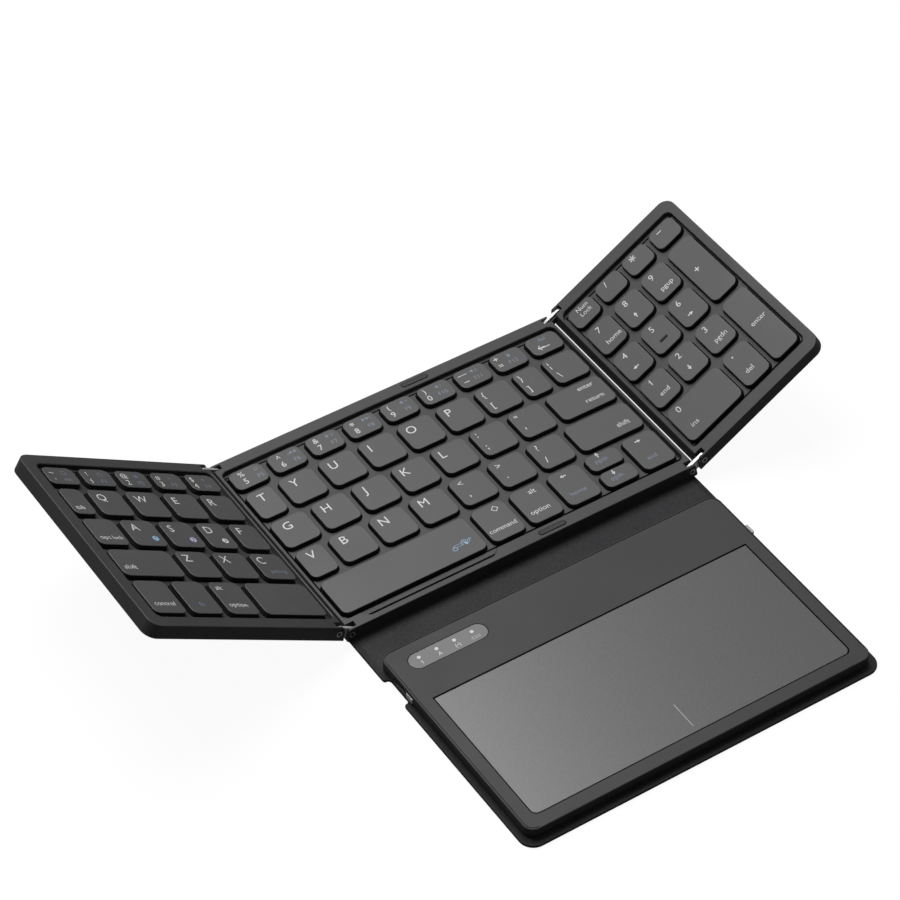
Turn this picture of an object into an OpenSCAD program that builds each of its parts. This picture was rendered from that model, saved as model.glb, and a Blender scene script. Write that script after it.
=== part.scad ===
// Folding keyboard: a centre panel with two hinged wings and a touchpad on its leather cover.
// Millimetres. Origin on the floor under the middle of the centre panel, X to the right,
// Y away from the typist, Z up. The wings stand raised, as on a desk; the cover lies open.

/* [Key panels] */
// Width of the centre panel between its top edges, along X
centre_w = 157; // [140:0.5:190]
// Depth of the three key panels, along Y
panel_d = 101.6; // [84:0.2:125]
// Thickness of the key panels
panel_t = 6; // [5:0.1:8]
// Share of the closed width that the left wing covers
left_share = 0.584; // [0.5:0.001:0.65]
// Angle at which both wings stand above the desk
wing_tilt = 31.7; // [0:0.1:45]
// Air between the panels when the wings lie closed on the centre panel
closed_gap = 0.5; // [0.4:0.1:1.5]
// Height from the sunk deck around the keys up to the top edge
deck_drop = 2; // [1.4:0.1:2.4]
// Width of the rims in front of and behind the sunk deck
rim_y = 5.5; // [5:0.1:7]
// Width of the outer rim of the left wing
left_rim = 5.4; // [4:0.1:8]
// Width of the outer rim of the right wing
right_rim = 3.8; // [3:0.1:8]

/* [Keys] */
// Distance a key travels
key_travel = 1.2; // [0.8:0.1:1.5]
// Gap between neighbouring keys of a row on the centre panel and the left wing
key_gap = 2.55; // [1.8:0.05:3]
// Gap between neighbouring keys of a row on the right wing
pad_key_gap = 2.1; // [1.8:0.05:3]
// Gap between the rows
row_gap = 2.6; // [1.8:0.05:3.2]
// Corner radius of a key
key_r = 2.8; // [1:0.1:4]
// Clearance round a key in its well
well_gap = 0.35; // [0.25:0.05:0.5]

/* [Hinges] */
// Half width of a hinge link
link_r = 2.2; // [1.8:0.05:2.4]
// Thickness of a hinge link, along Y
link_t = 1.2; // [0.8:0.1:1.5]
// Thickness of the wire sleeve behind a hinge link
sleeve_t = 1; // [0.8:0.1:1.2]
// Diameter of the hinge screws
hinge_pin = 1.4; // [1:0.1:1.6]

/* [Leather and touchpad] */
// Thickness of the leather
leather_t = 1.2; // [0.8:0.1:2]
// Thickness of the touchpad panel on the leather
pad_t = 4.8; // [4.6:0.1:7]
// Width of the glass touch surface
glass_w = 140; // [100:1:142]
// Depth of the glass touch surface
glass_d = 64.6; // [50:0.2:65]
// Travel of the front edge of the glass when it is clicked
click_travel = 0.4; // [0.2:0.05:0.4]

/* [Hidden] */
$fn = 48;

// Worked-out sizes are kept to a hundredth, so that arcs and straight edges meet exactly
function snap(v) = round(v*100)/100;

pivot_x = centre_w/2 - 1.2;
pivot_z = leather_t + panel_t/2;
pivot_gap = panel_t + closed_gap;
top = panel_t/2;
base = -panel_t/2;
closed_w = 2*pivot_x - 0.8;
left_reach = snap(closed_w*left_share);
right_reach = closed_w - left_reach;

plate_t = 1;
sheet_t = 0.3;
deck = top - deck_drop;
web = base + plate_t + 2*sheet_t;
cap_h = top - web - key_travel - 0.5;
cap_base = top - cap_h;
cap_skin = 0.9;
cap_wall = 1;
cap_edge = 0.4;
plunger_r = 1.2;
plunger_base = web + key_travel + 0.1;

// Seam walls: how far they stand beyond the pivot at the top and at the foot
seam_lip = 1.2;
seam_chamfer = 0.6;
centre_foot = 2.65;
wing_foot = 3.45;
foot_r = 1.2;
front_chamfer = 0.8;

// Bays for the hinge links, behind a thin front wall and in front of a boss
hinge_wall = 1;
bay_w = link_t + sleeve_t + 0.3;
bay_r = link_r + 0.25;
boss_w = 2.2;
head_r = 1.2;
head_t = 0.5;

middle_notch = [-11, 7];
plate_edge_y = 1.6;
plate_inner = 3.7;
plate_outer = 2;
screw_y = panel_d/2 - 3.5;
sheet_y = panel_d/2 - rim_y - 0.6;

bumper = [12, 2.2, 0.9];
bumper_y = panel_d/2 - 2.6;
bumper_x = snap(pivot_x - right_reach + 0.1);

// Leather folds: the cover goes up round the closed stack in two right angles
fold_z = leather_t + 0.7;
spine_y = -panel_d/2 + 0.4;
spine_span = 2*panel_t + closed_gap + 0.4 + pad_t + 2*leather_t - 2*fold_z;
cover_y = spine_y - spine_span;
fold_slit = 0.15;

pad_x = centre_w/2 - 2.5;
pad_rear = cover_y + 0.4;
pad_front = pad_rear - panel_d + 3.1;
pad_top = leather_t + pad_t;
pad_r = 4.5;
pad_wall = 1.4;
pad_floor = 0.8;
pad_skin = 0.9;
pad_split = leather_t + 2.2;
glass_front = pad_front + 5.9;
glass_rear = glass_front + glass_d;
glass_gap = 0.3;
glass_top = pad_top - 0.1;
glass_base = pad_top - pad_skin - 0.05;
board_t = 0.6;
tab_d = 3;
leather_front = pad_front - 3.2;
board_z = leather_t + pad_floor + 0.4;
board_top = board_z + 0.8;
port_y = pad_rear - 14.2;
port_z = leather_t + pad_t/2 - 0.45;
port_r = 1.6;
port_w = 8.9;
light_y = port_y - 6.9;
switch_y = pad_rear - 21.35;
switch_travel = 2;
switch_z = leather_t + 2.6;
pill_x = -snap(pad_x*0.682);
pill_y = pad_rear - 9.9;
pill = [34.4, 7.4];
battery = [78, 44, 1.8];

casing = [0.27, 0.27, 0.28];
cap = [0.36, 0.36, 0.37];
black = [0.06, 0.06, 0.06];
steel = [0.75, 0.75, 0.76];
hide = [0.22, 0.22, 0.23];

// Key widths as shares of one key, rows from the rear; the wings from the hinge outwards
centre_rows = [
  [1, 1, 1, 1, 1, 1, 1, 1, 1],
  [0.77, 1, 1, 1, 1, 1, 1, 0.74, 1],
  [1, 1, 1, 1, 1, 1, 1, 1.665],
  [0.77, 1, 1, 1, 1, 1, 1, 1.9],
  [4.29, 1, 1, 1, 1, 1]
];
left_rows = [
  [1, 1, 1, 1, 1],
  [1, 1, 1, 1, 0.68],
  [0.86, 0.86, 1, 1, 0.93],
  [1, 1, 1, 1.87],
  [2.04, 1, 1, 1.03]
];
right_rows = [for (row = [0:4]) [1, 1, 1, 1]];
row_shares = [0.673, 1, 1, 1, 1.2115];

// A key field: its rows, where it starts and ends in X, and the gap between keys
centre_field = [centre_rows, -pivot_x + 1.4, pivot_x - 1.4, key_gap];
left_field = [left_rows, 1.3, left_reach - left_rim - 0.8, key_gap];
right_field = [right_rows, 1.1, right_reach - right_rim - 1, pad_key_gap];

// Keys by rear row, front row, first and last place, and half (0 whole, 1 rear, 2 front)
function single(row, first, last) = [for (i = [first:last]) [row, row, i, i, 0]];
number_set = single(0, 0, 8);
y_row_set = single(1, 0, 8);
h_row_set = single(2, 0, 6);
enter_set = single(2, 7, 7);
n_row_set = single(3, 0, 6);
right_shift_set = single(3, 7, 7);
space_set = single(4, 0, 0);
centre_modifier_set = single(4, 1, 2);
arrow_set = concat(single(4, 3, 3), [[4, 4, 4, 4, 1], [4, 4, 4, 4, 2]], single(4, 5, 5));
left_number_set = single(0, 0, 4);
left_qwer_set = single(1, 0, 4);
left_asdf_set = single(2, 0, 4);
left_zxc_set = single(3, 0, 3);
left_space_set = single(4, 0, 0);
left_modifier_set = single(4, 1, 3);
numpad_top_set = single(0, 0, 3);
numpad_digit_set = concat(single(1, 0, 2), single(2, 0, 2), single(3, 0, 2), single(4, 2, 2));
plus_set = [[1, 2, 3, 3, 0]];
numpad_enter_set = [[3, 4, 3, 3, 0]];
zero_set = [[4, 4, 0, 1, 0]];
centre_set = concat(number_set, y_row_set, h_row_set, enter_set, n_row_set, right_shift_set,
  space_set, centre_modifier_set, arrow_set);
left_set = concat(left_number_set, left_qwer_set, left_asdf_set, left_zxc_set, left_space_set,
  left_modifier_set);
right_set = concat(numpad_top_set, numpad_digit_set, plus_set, numpad_enter_set, zero_set);

function sum_first(shares, n) = n < 1 ? 0 : shares[n - 1] + sum_first(shares, n - 1);
function one_share(shares, span, gap) =
  (span - gap*(len(shares) - 1))/sum_first(shares, len(shares));
function start_of(shares, i, span, gap) =
  sum_first(shares, i)*one_share(shares, span, gap) + i*gap;
function end_of(shares, i, span, gap) =
  start_of(shares, i, span, gap) + shares[i]*one_share(shares, span, gap);

row_span = panel_d - 2*rim_y - 4;
function row_rear(i) = row_span/2 - start_of(row_shares, i, row_span, row_gap);
function row_front(i) = row_span/2 - end_of(row_shares, i, row_span, row_gap);
function key_x(field, row, i, far) = field[1] + (far
  ? end_of(field[0][row], i, field[2] - field[1], field[3])
  : start_of(field[0][row], i, field[2] - field[1], field[3]));
function key_box(field, key) = let (
    rear = row_rear(key[0]), front = row_front(key[1]), middle = (rear + front)/2)
  [for (v = [key_x(field, key[0], key[2], false), key[4] == 1 ? middle + 0.7 : front,
    key_x(field, key[0], key[3], true), key[4] == 2 ? middle - 0.7 : rear]) snap(v)];
function key_corner(box) = snap(min(key_r, (box[3] - box[1])/2 - 1.2));

// A rectangle given by its left, front, right and rear edge, with rounded corners
module rounded(box, r, grow = 0) {
  x = box[0] - grow;
  y = box[1] - grow;
  w = box[2] - box[0] + 2*grow;
  d = box[3] - box[1] + 2*grow;
  q = r + grow;
  translate([x + q, y]) square([w - 2*q, d]);
  translate([x, y + q]) square([w, d - 2*q]);
  for (u = [x + q, x + w - q], v = [y + q, y + d - q]) translate([u, v]) circle(r = q);
}

// A strip with round ends, its first centre at the origin and the second at l along X
module stadium(l, r) {
  circle(r = r);
  translate([l, 0]) circle(r = r);
  translate([0, -r]) square([l, 2*r]);
}

// Children drawn in X and Z, given the depth from y0 to y1
module along_y(y0, y1) {
  translate([0, y1, 0]) rotate([90, 0, 0]) linear_extrude(y1 - y0) children();
}

// Children drawn in Y and Z, given the width from x0 to x1
module along_x(x0, x1) {
  translate([x0, 0, 0]) rotate([90, 0, 90]) linear_extrude(x1 - x0) children();
}

module slab(z0, z1) {
  translate([0, 0, z0]) linear_extrude(z1 - z0) children();
}

// Places of the three key panels; inside them Z is measured from the pivots
module on_centre() { translate([0, 0, pivot_z]) children(); }
module on_right() {
  translate([pivot_x + pivot_gap*cos(wing_tilt), 0, pivot_z + pivot_gap*sin(wing_tilt)])
    rotate([0, -wing_tilt, 0]) children();
}
module on_left() { mirror([1, 0, 0]) on_right() children(); }

// Outline of a cap between a and b with its top edges chamfered, standing past its ends
function cap_outline(a, b) = [
  [a - 1, cap_base - 1], [b + 1, cap_base - 1], [b + 1, top - cap_edge - 1],
  [b - cap_edge - 1, top + 1], [a + cap_edge + 1, top + 1], [a - 1, top - cap_edge - 1]];

module key_cap(box) {
  r = key_corner(box);
  difference() {
    intersection() {
      slab(cap_base, top) rounded(box, r);
      along_y(box[1] - 1, box[3] + 1) polygon(cap_outline(box[0], box[2]));
      along_x(box[0] - 1, box[2] + 1) polygon(cap_outline(box[1], box[3]));
    }
    slab(cap_base - 1, top - cap_skin) rounded(box, r, -cap_wall);
  }
  translate([(box[0] + box[2])/2, (box[1] + box[3])/2, plunger_base])
    cylinder(r = plunger_r, h = top - cap_skin/2 - plunger_base);
}

module keys(field, set) {
  for (key = set) key_cap(key_box(field, key));
}

// Wells for the keys, through the web of a panel
module wells(field, set) {
  for (key = set) {
    box = key_box(field, key);
    slab(web - 0.05, deck + 1) rounded(box, key_corner(box), well_gap);
  }
}

// One half of a seam wall from its top edge to its foot, X counted outwards from the pivot
function seam_side(foot) = concat(
  [[seam_lip - seam_chamfer, top], [seam_lip, top - seam_chamfer]],
  [for (a = [0:22.5:90]) [foot - foot_r + foot_r*cos(a), base + foot_r - foot_r*sin(a)]]);
function backwards(points) = [for (i = [len(points) - 1:-1:0]) points[i]];
function shifted(points, x, sign) = [for (p = points) [sign*(x + p[0]), p[1]]];

// A bay at each end of a seam for link and sleeve, with the screw hole and the head's seat
module hinge_bays(side) {
  for (end = [-1, 1]) mirror([0, end > 0 ? 1 : 0, 0]) translate([0, -panel_d/2, 0]) {
    translate([side > 0 ? -bay_r : -20, hinge_wall, -bay_r])
      cube([20 + bay_r, bay_w, 20 + bay_r]);
    along_y(-1, hinge_wall + bay_w + boss_w) circle(d = hinge_pin + 0.02);
    along_y(-1, head_t) circle(r = head_r + 0.05);
  }
}

module hinge_screw(x) {
  for (end = [-1, 1]) mirror([0, end > 0 ? 1 : 0, 0]) translate([x, -panel_d/2, 0]) {
    difference() {
      along_y(0, head_t) circle(r = head_r);
      for (turn = [0, 90]) rotate([0, turn, 0])
        translate([-0.75, -1, -0.15]) cube([1.5, 1.25, 0.3]);
    }
    along_y(head_t/2, hinge_wall + bay_w + boss_w - 0.2) circle(d = hinge_pin);
  }
}

module plate_screw(x, y, z) {
  translate([x, y, z]) {
    difference() {
      cylinder(r = 1.4, h = 0.5);
      for (turn = [0, 90]) rotate([0, 0, turn]) translate([-0.9, -0.2, -1]) cube([1.8, 0.4, 1.3]);
    }
    cylinder(r = 0.7, h = 3);
  }
}

module plate_screw_seat(x, y, z) {
  translate([x, y, z - 1]) cylinder(r = 1.45, h = 1.55);
  translate([x, y, z - 1]) cylinder(r = 0.71, h = 4.1);
}

module plate_screws(places) {
  for (x = places, y = [-screw_y, screw_y]) plate_screw(x, y, base);
}

// The room in a panel for its sheets and, wider, for the bottom plate
module panel_room(x0, x1) {
  slab(base + plate_t - 0.1, web) rounded([x0, -sheet_y, x1, sheet_y], 2);
  slab(base - 1, base + plate_t) rounded(plate_box(x0, x1), 3);
}

function plate_box(x0, x1) =
  [x0, -panel_d/2 + plate_edge_y, x1, panel_d/2 - plate_edge_y];

module panel_plate(x0, x1, places) {
  difference() {
    slab(base, base + plate_t) rounded(plate_box(x0, x1), 3, -0.1);
    for (x = places, y = [-screw_y, screw_y]) plate_screw_seat(x, y, base);
  }
}

module panel_sheet(x0, x1) {
  slab(base + plate_t, base + plate_t + sheet_t)
    rounded([x0, -sheet_y, x1, sheet_y], 2, -0.15);
}

module panel_domes(x0, x1, field, set) {
  slab(base + plate_t + sheet_t, web - 0.02) rounded([x0, -sheet_y, x1, sheet_y], 2, -0.15);
  for (key = set) {
    box = key_box(field, key);
    translate([(box[0] + box[2])/2, (box[1] + box[3])/2, web - 0.1])
      cylinder(r1 = 2.2, r2 = 1.1, h = plunger_base - 0.03 - web + 0.1);
  }
}

centre_sheet_x = pivot_x - plate_inner;
centre_screw_x = [-centre_sheet_x + 9, 0, centre_sheet_x - 9];
left_screw_x = [plate_inner + 5, left_reach/2, left_reach - plate_outer - 6];
right_screw_x = [plate_inner + 5, right_reach - plate_outer - 6];

module centre_frame() color(casing) on_centre() difference() {
  along_y(-panel_d/2, panel_d/2) polygon(concat(
    shifted(seam_side(centre_foot), pivot_x, 1),
    backwards(shifted(seam_side(centre_foot), pivot_x, -1))));
  slab(deck, top + 1)
    rounded([-pivot_x + 0.1, -panel_d/2 + rim_y, pivot_x - 0.1, panel_d/2 - rim_y], 2.8);
  space = key_box(centre_field, space_set[0]);
  scoop = [space[0] + 4.8, -panel_d/2 + 2.5, space[2] + 2.2, -panel_d/2 + rim_y];
  slab(deck, top + 1) polygon([[scoop[0] + 3.4, scoop[1]], [scoop[2] - 3.4, scoop[1]],
    [scoop[2], scoop[3]], [scoop[2], scoop[3] + 1], [scoop[0], scoop[3] + 1], [scoop[0], scoop[3]]]);
  wells(centre_field, centre_set);
  panel_room(-centre_sheet_x, centre_sheet_x);
  for (side = [-1, 1]) {
    translate([side*pivot_x, 0, 0]) hinge_bays(side);
    translate([side*(pivot_x + 10.8), (middle_notch[0] + middle_notch[1])/2, 0])
      cube([20, middle_notch[1] - middle_notch[0], 20], center = true);
  }
  for (x = centre_screw_x, y = [-screw_y, screw_y]) plate_screw_seat(x, y, base);
  for (y = [-bumper_y, bumper_y]) slab(top - bumper[2] + 0.3, top + 1)
    translate([bumper_x - bumper[0]/2 + bumper[1]/2, y])
      stadium(bumper[0] - bumper[1], bumper[1]/2 + 0.02);
  along_x(-100, 100) polygon([[-panel_d/2 - 1, base - 1],
    [-panel_d/2 + front_chamfer + 1, base - 1], [-panel_d/2 - 1, base + front_chamfer + 1]]);
}

module centre_bottom_plate() color(casing) on_centre()
  panel_plate(-centre_sheet_x, centre_sheet_x, centre_screw_x);
module centre_plate_screws() color(steel) on_centre() plate_screws(centre_screw_x);
module centre_membrane() color([0.8, 0.8, 0.7]) on_centre()
  panel_sheet(-centre_sheet_x, centre_sheet_x);
module centre_domes() color([0.85, 0.85, 0.85]) on_centre()
  panel_domes(-centre_sheet_x, centre_sheet_x, centre_field, centre_set);
module centre_hinge_screws() color(black) on_centre()
  for (side = [-1, 1]) hinge_screw(side*pivot_x);
module closing_bumpers() color(black) on_centre()
  for (y = [-bumper_y, bumper_y]) slab(top - bumper[2] + 0.3, top + 0.3)
    translate([bumper_x - bumper[0]/2 + bumper[1]/2, y])
      stadium(bumper[0] - bumper[1], bumper[1]/2);

// A wing's shell, X outwards from its pivot
module wing_shell(reach, rim, field, set, screw_x) difference() {
  intersection() {
    along_y(-panel_d/2, panel_d/2) polygon(concat(
      [[reach, base], [reach, top]], shifted(seam_side(wing_foot), 0, -1)));
    slab(-20, 20) rounded([-20, -panel_d/2, reach, panel_d/2], 5);
  }
  slab(deck, top + 1)
    rounded([-0.1, -panel_d/2 + rim_y, reach - rim, panel_d/2 - rim_y], 2.8);
  wells(field, set);
  panel_room(plate_inner, reach - plate_outer);
  hinge_bays(-1);
  translate([-21 - seam_lip, middle_notch[0], -20])
    cube([21, middle_notch[1] - middle_notch[0], 40]);
  for (x = screw_x, y = [-screw_y, screw_y]) plate_screw_seat(x, y, base);
}

module left_frame() color(casing) on_left()
  wing_shell(left_reach, left_rim, left_field, left_set, left_screw_x);
module left_bottom_plate() color(casing) on_left()
  panel_plate(plate_inner, left_reach - plate_outer, left_screw_x);
module left_plate_screws() color(steel) on_left() plate_screws(left_screw_x);
module left_membrane() color([0.8, 0.8, 0.7]) on_left()
  panel_sheet(plate_inner, left_reach - plate_outer);
module left_domes() color([0.85, 0.85, 0.85]) on_left()
  panel_domes(plate_inner, left_reach - plate_outer, left_field, left_set);
module left_hinge_screws() color(black) on_left() hinge_screw(0);

module right_frame() color(casing) on_right()
  wing_shell(right_reach, right_rim, right_field, right_set, right_screw_x);
module right_bottom_plate() color(casing) on_right()
  panel_plate(plate_inner, right_reach - plate_outer, right_screw_x);
module right_plate_screws() color(steel) on_right() plate_screws(right_screw_x);
module right_membrane() color([0.8, 0.8, 0.7]) on_right()
  panel_sheet(plate_inner, right_reach - plate_outer);
module right_domes() color([0.85, 0.85, 0.85]) on_right()
  panel_domes(plate_inner, right_reach - plate_outer, right_field, right_set);
module right_hinge_screws() color(black) on_right() hinge_screw(0);

// A link or sleeve at both ends of the right seam, laid from the centre's pivot to the wing's
module seam_strips(r, bore, from_y, thick) {
  for (end = [0, 1]) mirror([0, end, 0])
    translate([pivot_x, -panel_d/2 + hinge_wall, pivot_z]) rotate([0, -wing_tilt, 0])
      along_y(from_y, from_y + thick) difference() {
        stadium(pivot_gap, r);
        for (x = [0, pivot_gap]) translate([x, 0]) circle(d = bore);
      }
}

module links() { seam_strips(link_r, hinge_pin + 0.06, 0.1, link_t); }
module sleeves() { seam_strips(1.4, hinge_pin + 0.08, link_t + 0.2, sleeve_t); }
module right_links() color(steel) links();
module left_links() color(steel) mirror([1, 0, 0]) links();
module right_wire_sleeves() color(black) sleeves();
module left_wire_sleeves() color(black) mirror([1, 0, 0]) sleeves();

module left_number_keys() color(cap) on_left() keys(left_field, left_number_set);
module left_qwer_keys() color(cap) on_left() keys(left_field, left_qwer_set);
module left_asdf_keys() color(cap) on_left() keys(left_field, left_asdf_set);
module left_zxc_keys() color(cap) on_left() keys(left_field, left_zxc_set);
module left_space_key() color(cap) on_left() keys(left_field, left_space_set);
module left_modifier_keys() color(cap) on_left() keys(left_field, left_modifier_set);
module number_keys() color(cap) on_centre() keys(centre_field, number_set);
module y_row_keys() color(cap) on_centre() keys(centre_field, y_row_set);
module h_row_keys() color(cap) on_centre() keys(centre_field, h_row_set);
module enter_key() color(cap) on_centre() keys(centre_field, enter_set);
module n_row_keys() color(cap) on_centre() keys(centre_field, n_row_set);
module right_shift_key() color(cap) on_centre() keys(centre_field, right_shift_set);
module space_key() color(cap) on_centre() keys(centre_field, space_set);
module centre_modifier_keys() color(cap) on_centre() keys(centre_field, centre_modifier_set);
module arrow_keys() color(cap) on_centre() keys(centre_field, arrow_set);
module numpad_top_keys() color(cap) on_right() keys(right_field, numpad_top_set);
module numpad_digit_keys() color(cap) on_right() keys(right_field, numpad_digit_set);
module plus_key() color(cap) on_right() keys(right_field, plus_set);
module numpad_enter_key() color(cap) on_right() keys(right_field, numpad_enter_set);
module zero_key() color(cap) on_right() keys(right_field, zero_set);

// Leather: one sheet on the real piece, parted here at its two folds
module base_leather() color(hide) slab(0, leather_t) difference() {
  rounded([-centre_w/2, spine_y - 10, centre_w/2, panel_d/2 + 0.2], 3);
  translate([-centre_w, spine_y - 20]) square([2*centre_w, 20 + fold_slit]);
}

module ribbon_room(grow) {
  translate([0, (spine_y + cover_y)/2, leather_t/2])
    cube([14 + 2*grow, spine_span + 1, 0.2 + 2*grow], center = true);
}

module spine_leather() color(hide) difference() {
  translate([-centre_w/2, cover_y + fold_slit, 0])
    cube([centre_w, spine_span - 2*fold_slit, leather_t]);
  ribbon_room(0.02);
}

module spine_ribbon() color([0.5, 0.35, 0.1]) intersection() {
  ribbon_room(0);
  translate([-centre_w/2, cover_y + fold_slit, 0])
    cube([centre_w, spine_span - 2*fold_slit, leather_t]);
}

module cover_leather() color(hide) slab(0, leather_t) difference() {
  rounded([-centre_w/2, leather_front, centre_w/2, cover_y + 10], 6);
  translate([-centre_w, cover_y - fold_slit]) square([2*centre_w, 20]);
  rounded([-centre_w/2 - 5, port_y - 7.2, -centre_w/2 + 2.4, port_y + 6.4], 1);
  rounded([centre_w/2 - 2.4, switch_y - 2.5, centre_w/2 + 5, switch_y + 10.7], 1);
}

pad_box = [-pad_x, pad_front, pad_x, pad_rear];
case_screw_places = concat(
  [for (x = [-1, 1], y = [pad_rear - 3, (pad_rear + pad_front)/2, pad_front + 3])
    [x*(pad_x - 3.2), y]],
  [[0, pad_front + 2.9]]);

// Openings in the side walls of the touchpad panel, shared by both halves of its case
module pad_openings() {
  translate([0, port_y - port_w/2 + port_r, port_z]) along_x(-pad_x - 1, -pad_x + 9)
    stadium(port_w - 2*port_r, port_r + 0.08);
  translate([-pad_x - 1, light_y - 1.55, pad_split - 0.85]) cube([pad_wall + 2, 3.1, 1.7]);
  translate([pad_x - 0.6, switch_y - 3.35, switch_z - 1.3]) cube([2, 12, 2.6]);
  translate([pad_x - pad_wall - 1, switch_y - 1.25, switch_z - 0.45])
    cube([pad_wall + 2, switch_travel + 2.5, 0.9]);
}

module pad_bottom_case() color(casing) difference() {
  union() {
    difference() {
      slab(leather_t, pad_split) rounded(pad_box, pad_r);
      slab(leather_t + pad_floor, pad_split + 1) rounded(pad_box, pad_r, -pad_wall);
    }
    for (p = case_screw_places) translate([p[0], p[1], leather_t])
      cylinder(r = 2, h = pad_split - leather_t);
    for (x = [-60, -20, 20, 60], y = [pad_rear - 8, pad_rear - 24])
      translate([x, y, leather_t]) cylinder(r = 1.5, h = board_z - leather_t);
  }
  for (p = case_screw_places) plate_screw_seat(p[0], p[1], leather_t);
  pad_openings();
  along_x(-100, 100) polygon([[pad_rear + 1, leather_t - 1],
    [pad_rear - front_chamfer - 1, leather_t - 1], [pad_rear + 1, leather_t + front_chamfer + 1]]);
}

module pad_top_frame() color(casing) difference() {
  union() {
    difference() {
      slab(pad_split, pad_top) rounded(pad_box, pad_r);
      slab(pad_split - 1, pad_top - pad_skin) rounded(pad_box, pad_r, -pad_wall);
    }
    for (p = case_screw_places) translate([p[0], p[1], pad_split])
      cylinder(r = 2, h = pad_top - pad_skin/2 - pad_split);
  }
  slab(pad_top - pad_skin - 1, pad_top + 1) {
    rounded([-glass_w/2, glass_front, glass_w/2, glass_rear - 6], 2.5, glass_gap);
    translate([-glass_w/2 - glass_gap, glass_rear - 12])
      square([glass_w + 2*glass_gap, 12 + glass_gap]);
  }
  slab(pad_top - pad_skin - 1, pad_top + 1) translate([pill_x - (pill[0] - pill[1])/2, pill_y])
    stadium(pill[0] - pill[1], pill[1]/2 + 0.02);
  for (p = case_screw_places) plate_screw_seat(p[0], p[1], leather_t);
  pad_openings();
}

module touch_glass() color([0.5, 0.5, 0.51]) slab(glass_base, glass_top) {
  rounded([-glass_w/2, glass_front, glass_w/2, glass_rear - 6], 2.5);
  translate([-glass_w/2, glass_rear - 12]) square([glass_w, 12]);
}

module touch_board() color([0.1, 0.25, 0.15]) slab(glass_base - board_t, glass_base) {
  rounded([-glass_w/2 + 1, glass_front + 0.4, glass_w/2 - 1, glass_rear - 1], 2);
  for (x = [-0.35, 0.35]) translate([x*glass_w - 8, glass_rear - 4]) square([16, 4 + tab_d]);
}

module click_switch() color(steel) translate([0, glass_front + 7, leather_t + pad_floor]) {
  slab(0, 1.3) rounded([-2.6, -2.6, 2.6, 2.6], 0.5);
  cylinder(r = 1.2, h = glass_base - board_t - click_travel - 0.04 - leather_t - pad_floor);
}

module main_board() color([0.1, 0.3, 0.2]) {
  slab(board_z, board_top) difference() {
    rounded([-pad_x + 4, pad_rear - 26, pad_x - 4, pad_rear - 6], 1);
    translate([-pad_x, port_y - port_w/2 - 0.1]) square([7.6, port_w + 0.2]);
  }
  slab(board_top - 0.1, board_top + 1) {
    rounded([-26, pad_rear - 22, -18, pad_rear - 14], 0.3);
    rounded([8, pad_rear - 20, 13, pad_rear - 15], 0.3);
  }
  difference() {
    slab(board_top - 0.1, board_top + 1.5)
      rounded([pad_x - 8, switch_y - 3.4, pad_x - 4, switch_y + 5.4], 0.3);
    translate([pad_x - 6, switch_y - 1.25, switch_z - 0.4])
      cube([8, switch_travel + 2.5, 0.8]);
  }
}

module battery_cell() {
  slab(leather_t + pad_floor, leather_t + pad_floor + battery[2])
    rounded([-battery[0]*0.7, -battery[1]/2, battery[0]*0.3, battery[1]/2], 1.5);
}
module battery() color([0.7, 0.7, 0.72])
  translate([0, (glass_front + glass_rear)/2 + 4, 0]) battery_cell();

module usb_port() color(steel) translate([0, port_y - port_w/2 + port_r, port_z]) {
  difference() {
    along_x(-pad_x + 0.2, -pad_x + 7.5) stadium(port_w - 2*port_r, port_r);
    along_x(-pad_x - 1, -pad_x + 6.7) stadium(port_w - 2*port_r, port_r - 0.3);
  }
  translate([-pad_x + 1.2, -0.5, -0.35]) cube([5.9, port_w - 2*port_r + 1, 0.7]);
}

module charge_light() color([0.9, 0.9, 0.88])
  translate([-pad_x - 0.1, light_y - 1.5, pad_split - 0.8]) cube([pad_wall + 1, 3, 1.6]);

module power_switch() color(black) {
  slab(switch_z - 1, switch_z + 1)
    rounded([pad_x - 0.3, switch_y - 2.25, pad_x + 0.9, switch_y + 2.25], 0.4);
  translate([pad_x - 5.5, switch_y - 1, switch_z - 0.35]) cube([5.6, 2, 0.7]);
}

module indicator_window() color([0.55, 0.55, 0.55]) slab(pad_top - pad_skin, pad_top)
  translate([pill_x - (pill[0] - pill[1])/2, pill_y]) stadium(pill[0] - pill[1], pill[1]/2);

module indicator_leds() color([0.9, 0.9, 0.8]) for (i = [0:3])
  translate([pill_x + (i - 1.5)*pill[0]*0.24 - 0.8, pill_y - 0.4, board_top]) cube([1.6, 0.8, 0.7]);

module case_screws() color(steel)
  for (p = case_screw_places) plate_screw(p[0], p[1], leather_t);

centre_frame();
centre_bottom_plate();
centre_plate_screws();
centre_membrane();
centre_domes();
centre_hinge_screws();
closing_bumpers();
base_leather();
left_frame();
left_bottom_plate();
left_plate_screws();
left_membrane();
left_domes();
left_hinge_screws();
left_links();
left_wire_sleeves();
right_frame();
right_bottom_plate();
right_plate_screws();
right_membrane();
right_domes();
right_hinge_screws();
right_links();
right_wire_sleeves();
left_number_keys();
left_qwer_keys();
left_asdf_keys();
left_zxc_keys();
left_space_key();
left_modifier_keys();
number_keys();
y_row_keys();
h_row_keys();
enter_key();
n_row_keys();
right_shift_key();
space_key();
centre_modifier_keys();
arrow_keys();
numpad_top_keys();
numpad_digit_keys();
plus_key();
numpad_enter_key();
zero_key();
spine_leather();
spine_ribbon();
cover_leather();
pad_bottom_case();
pad_top_frame();
touch_glass();
touch_board();
click_switch();
main_board();
battery();
usb_port();
charge_light();
power_switch();
indicator_window();
indicator_leds();
case_screws();
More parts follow.
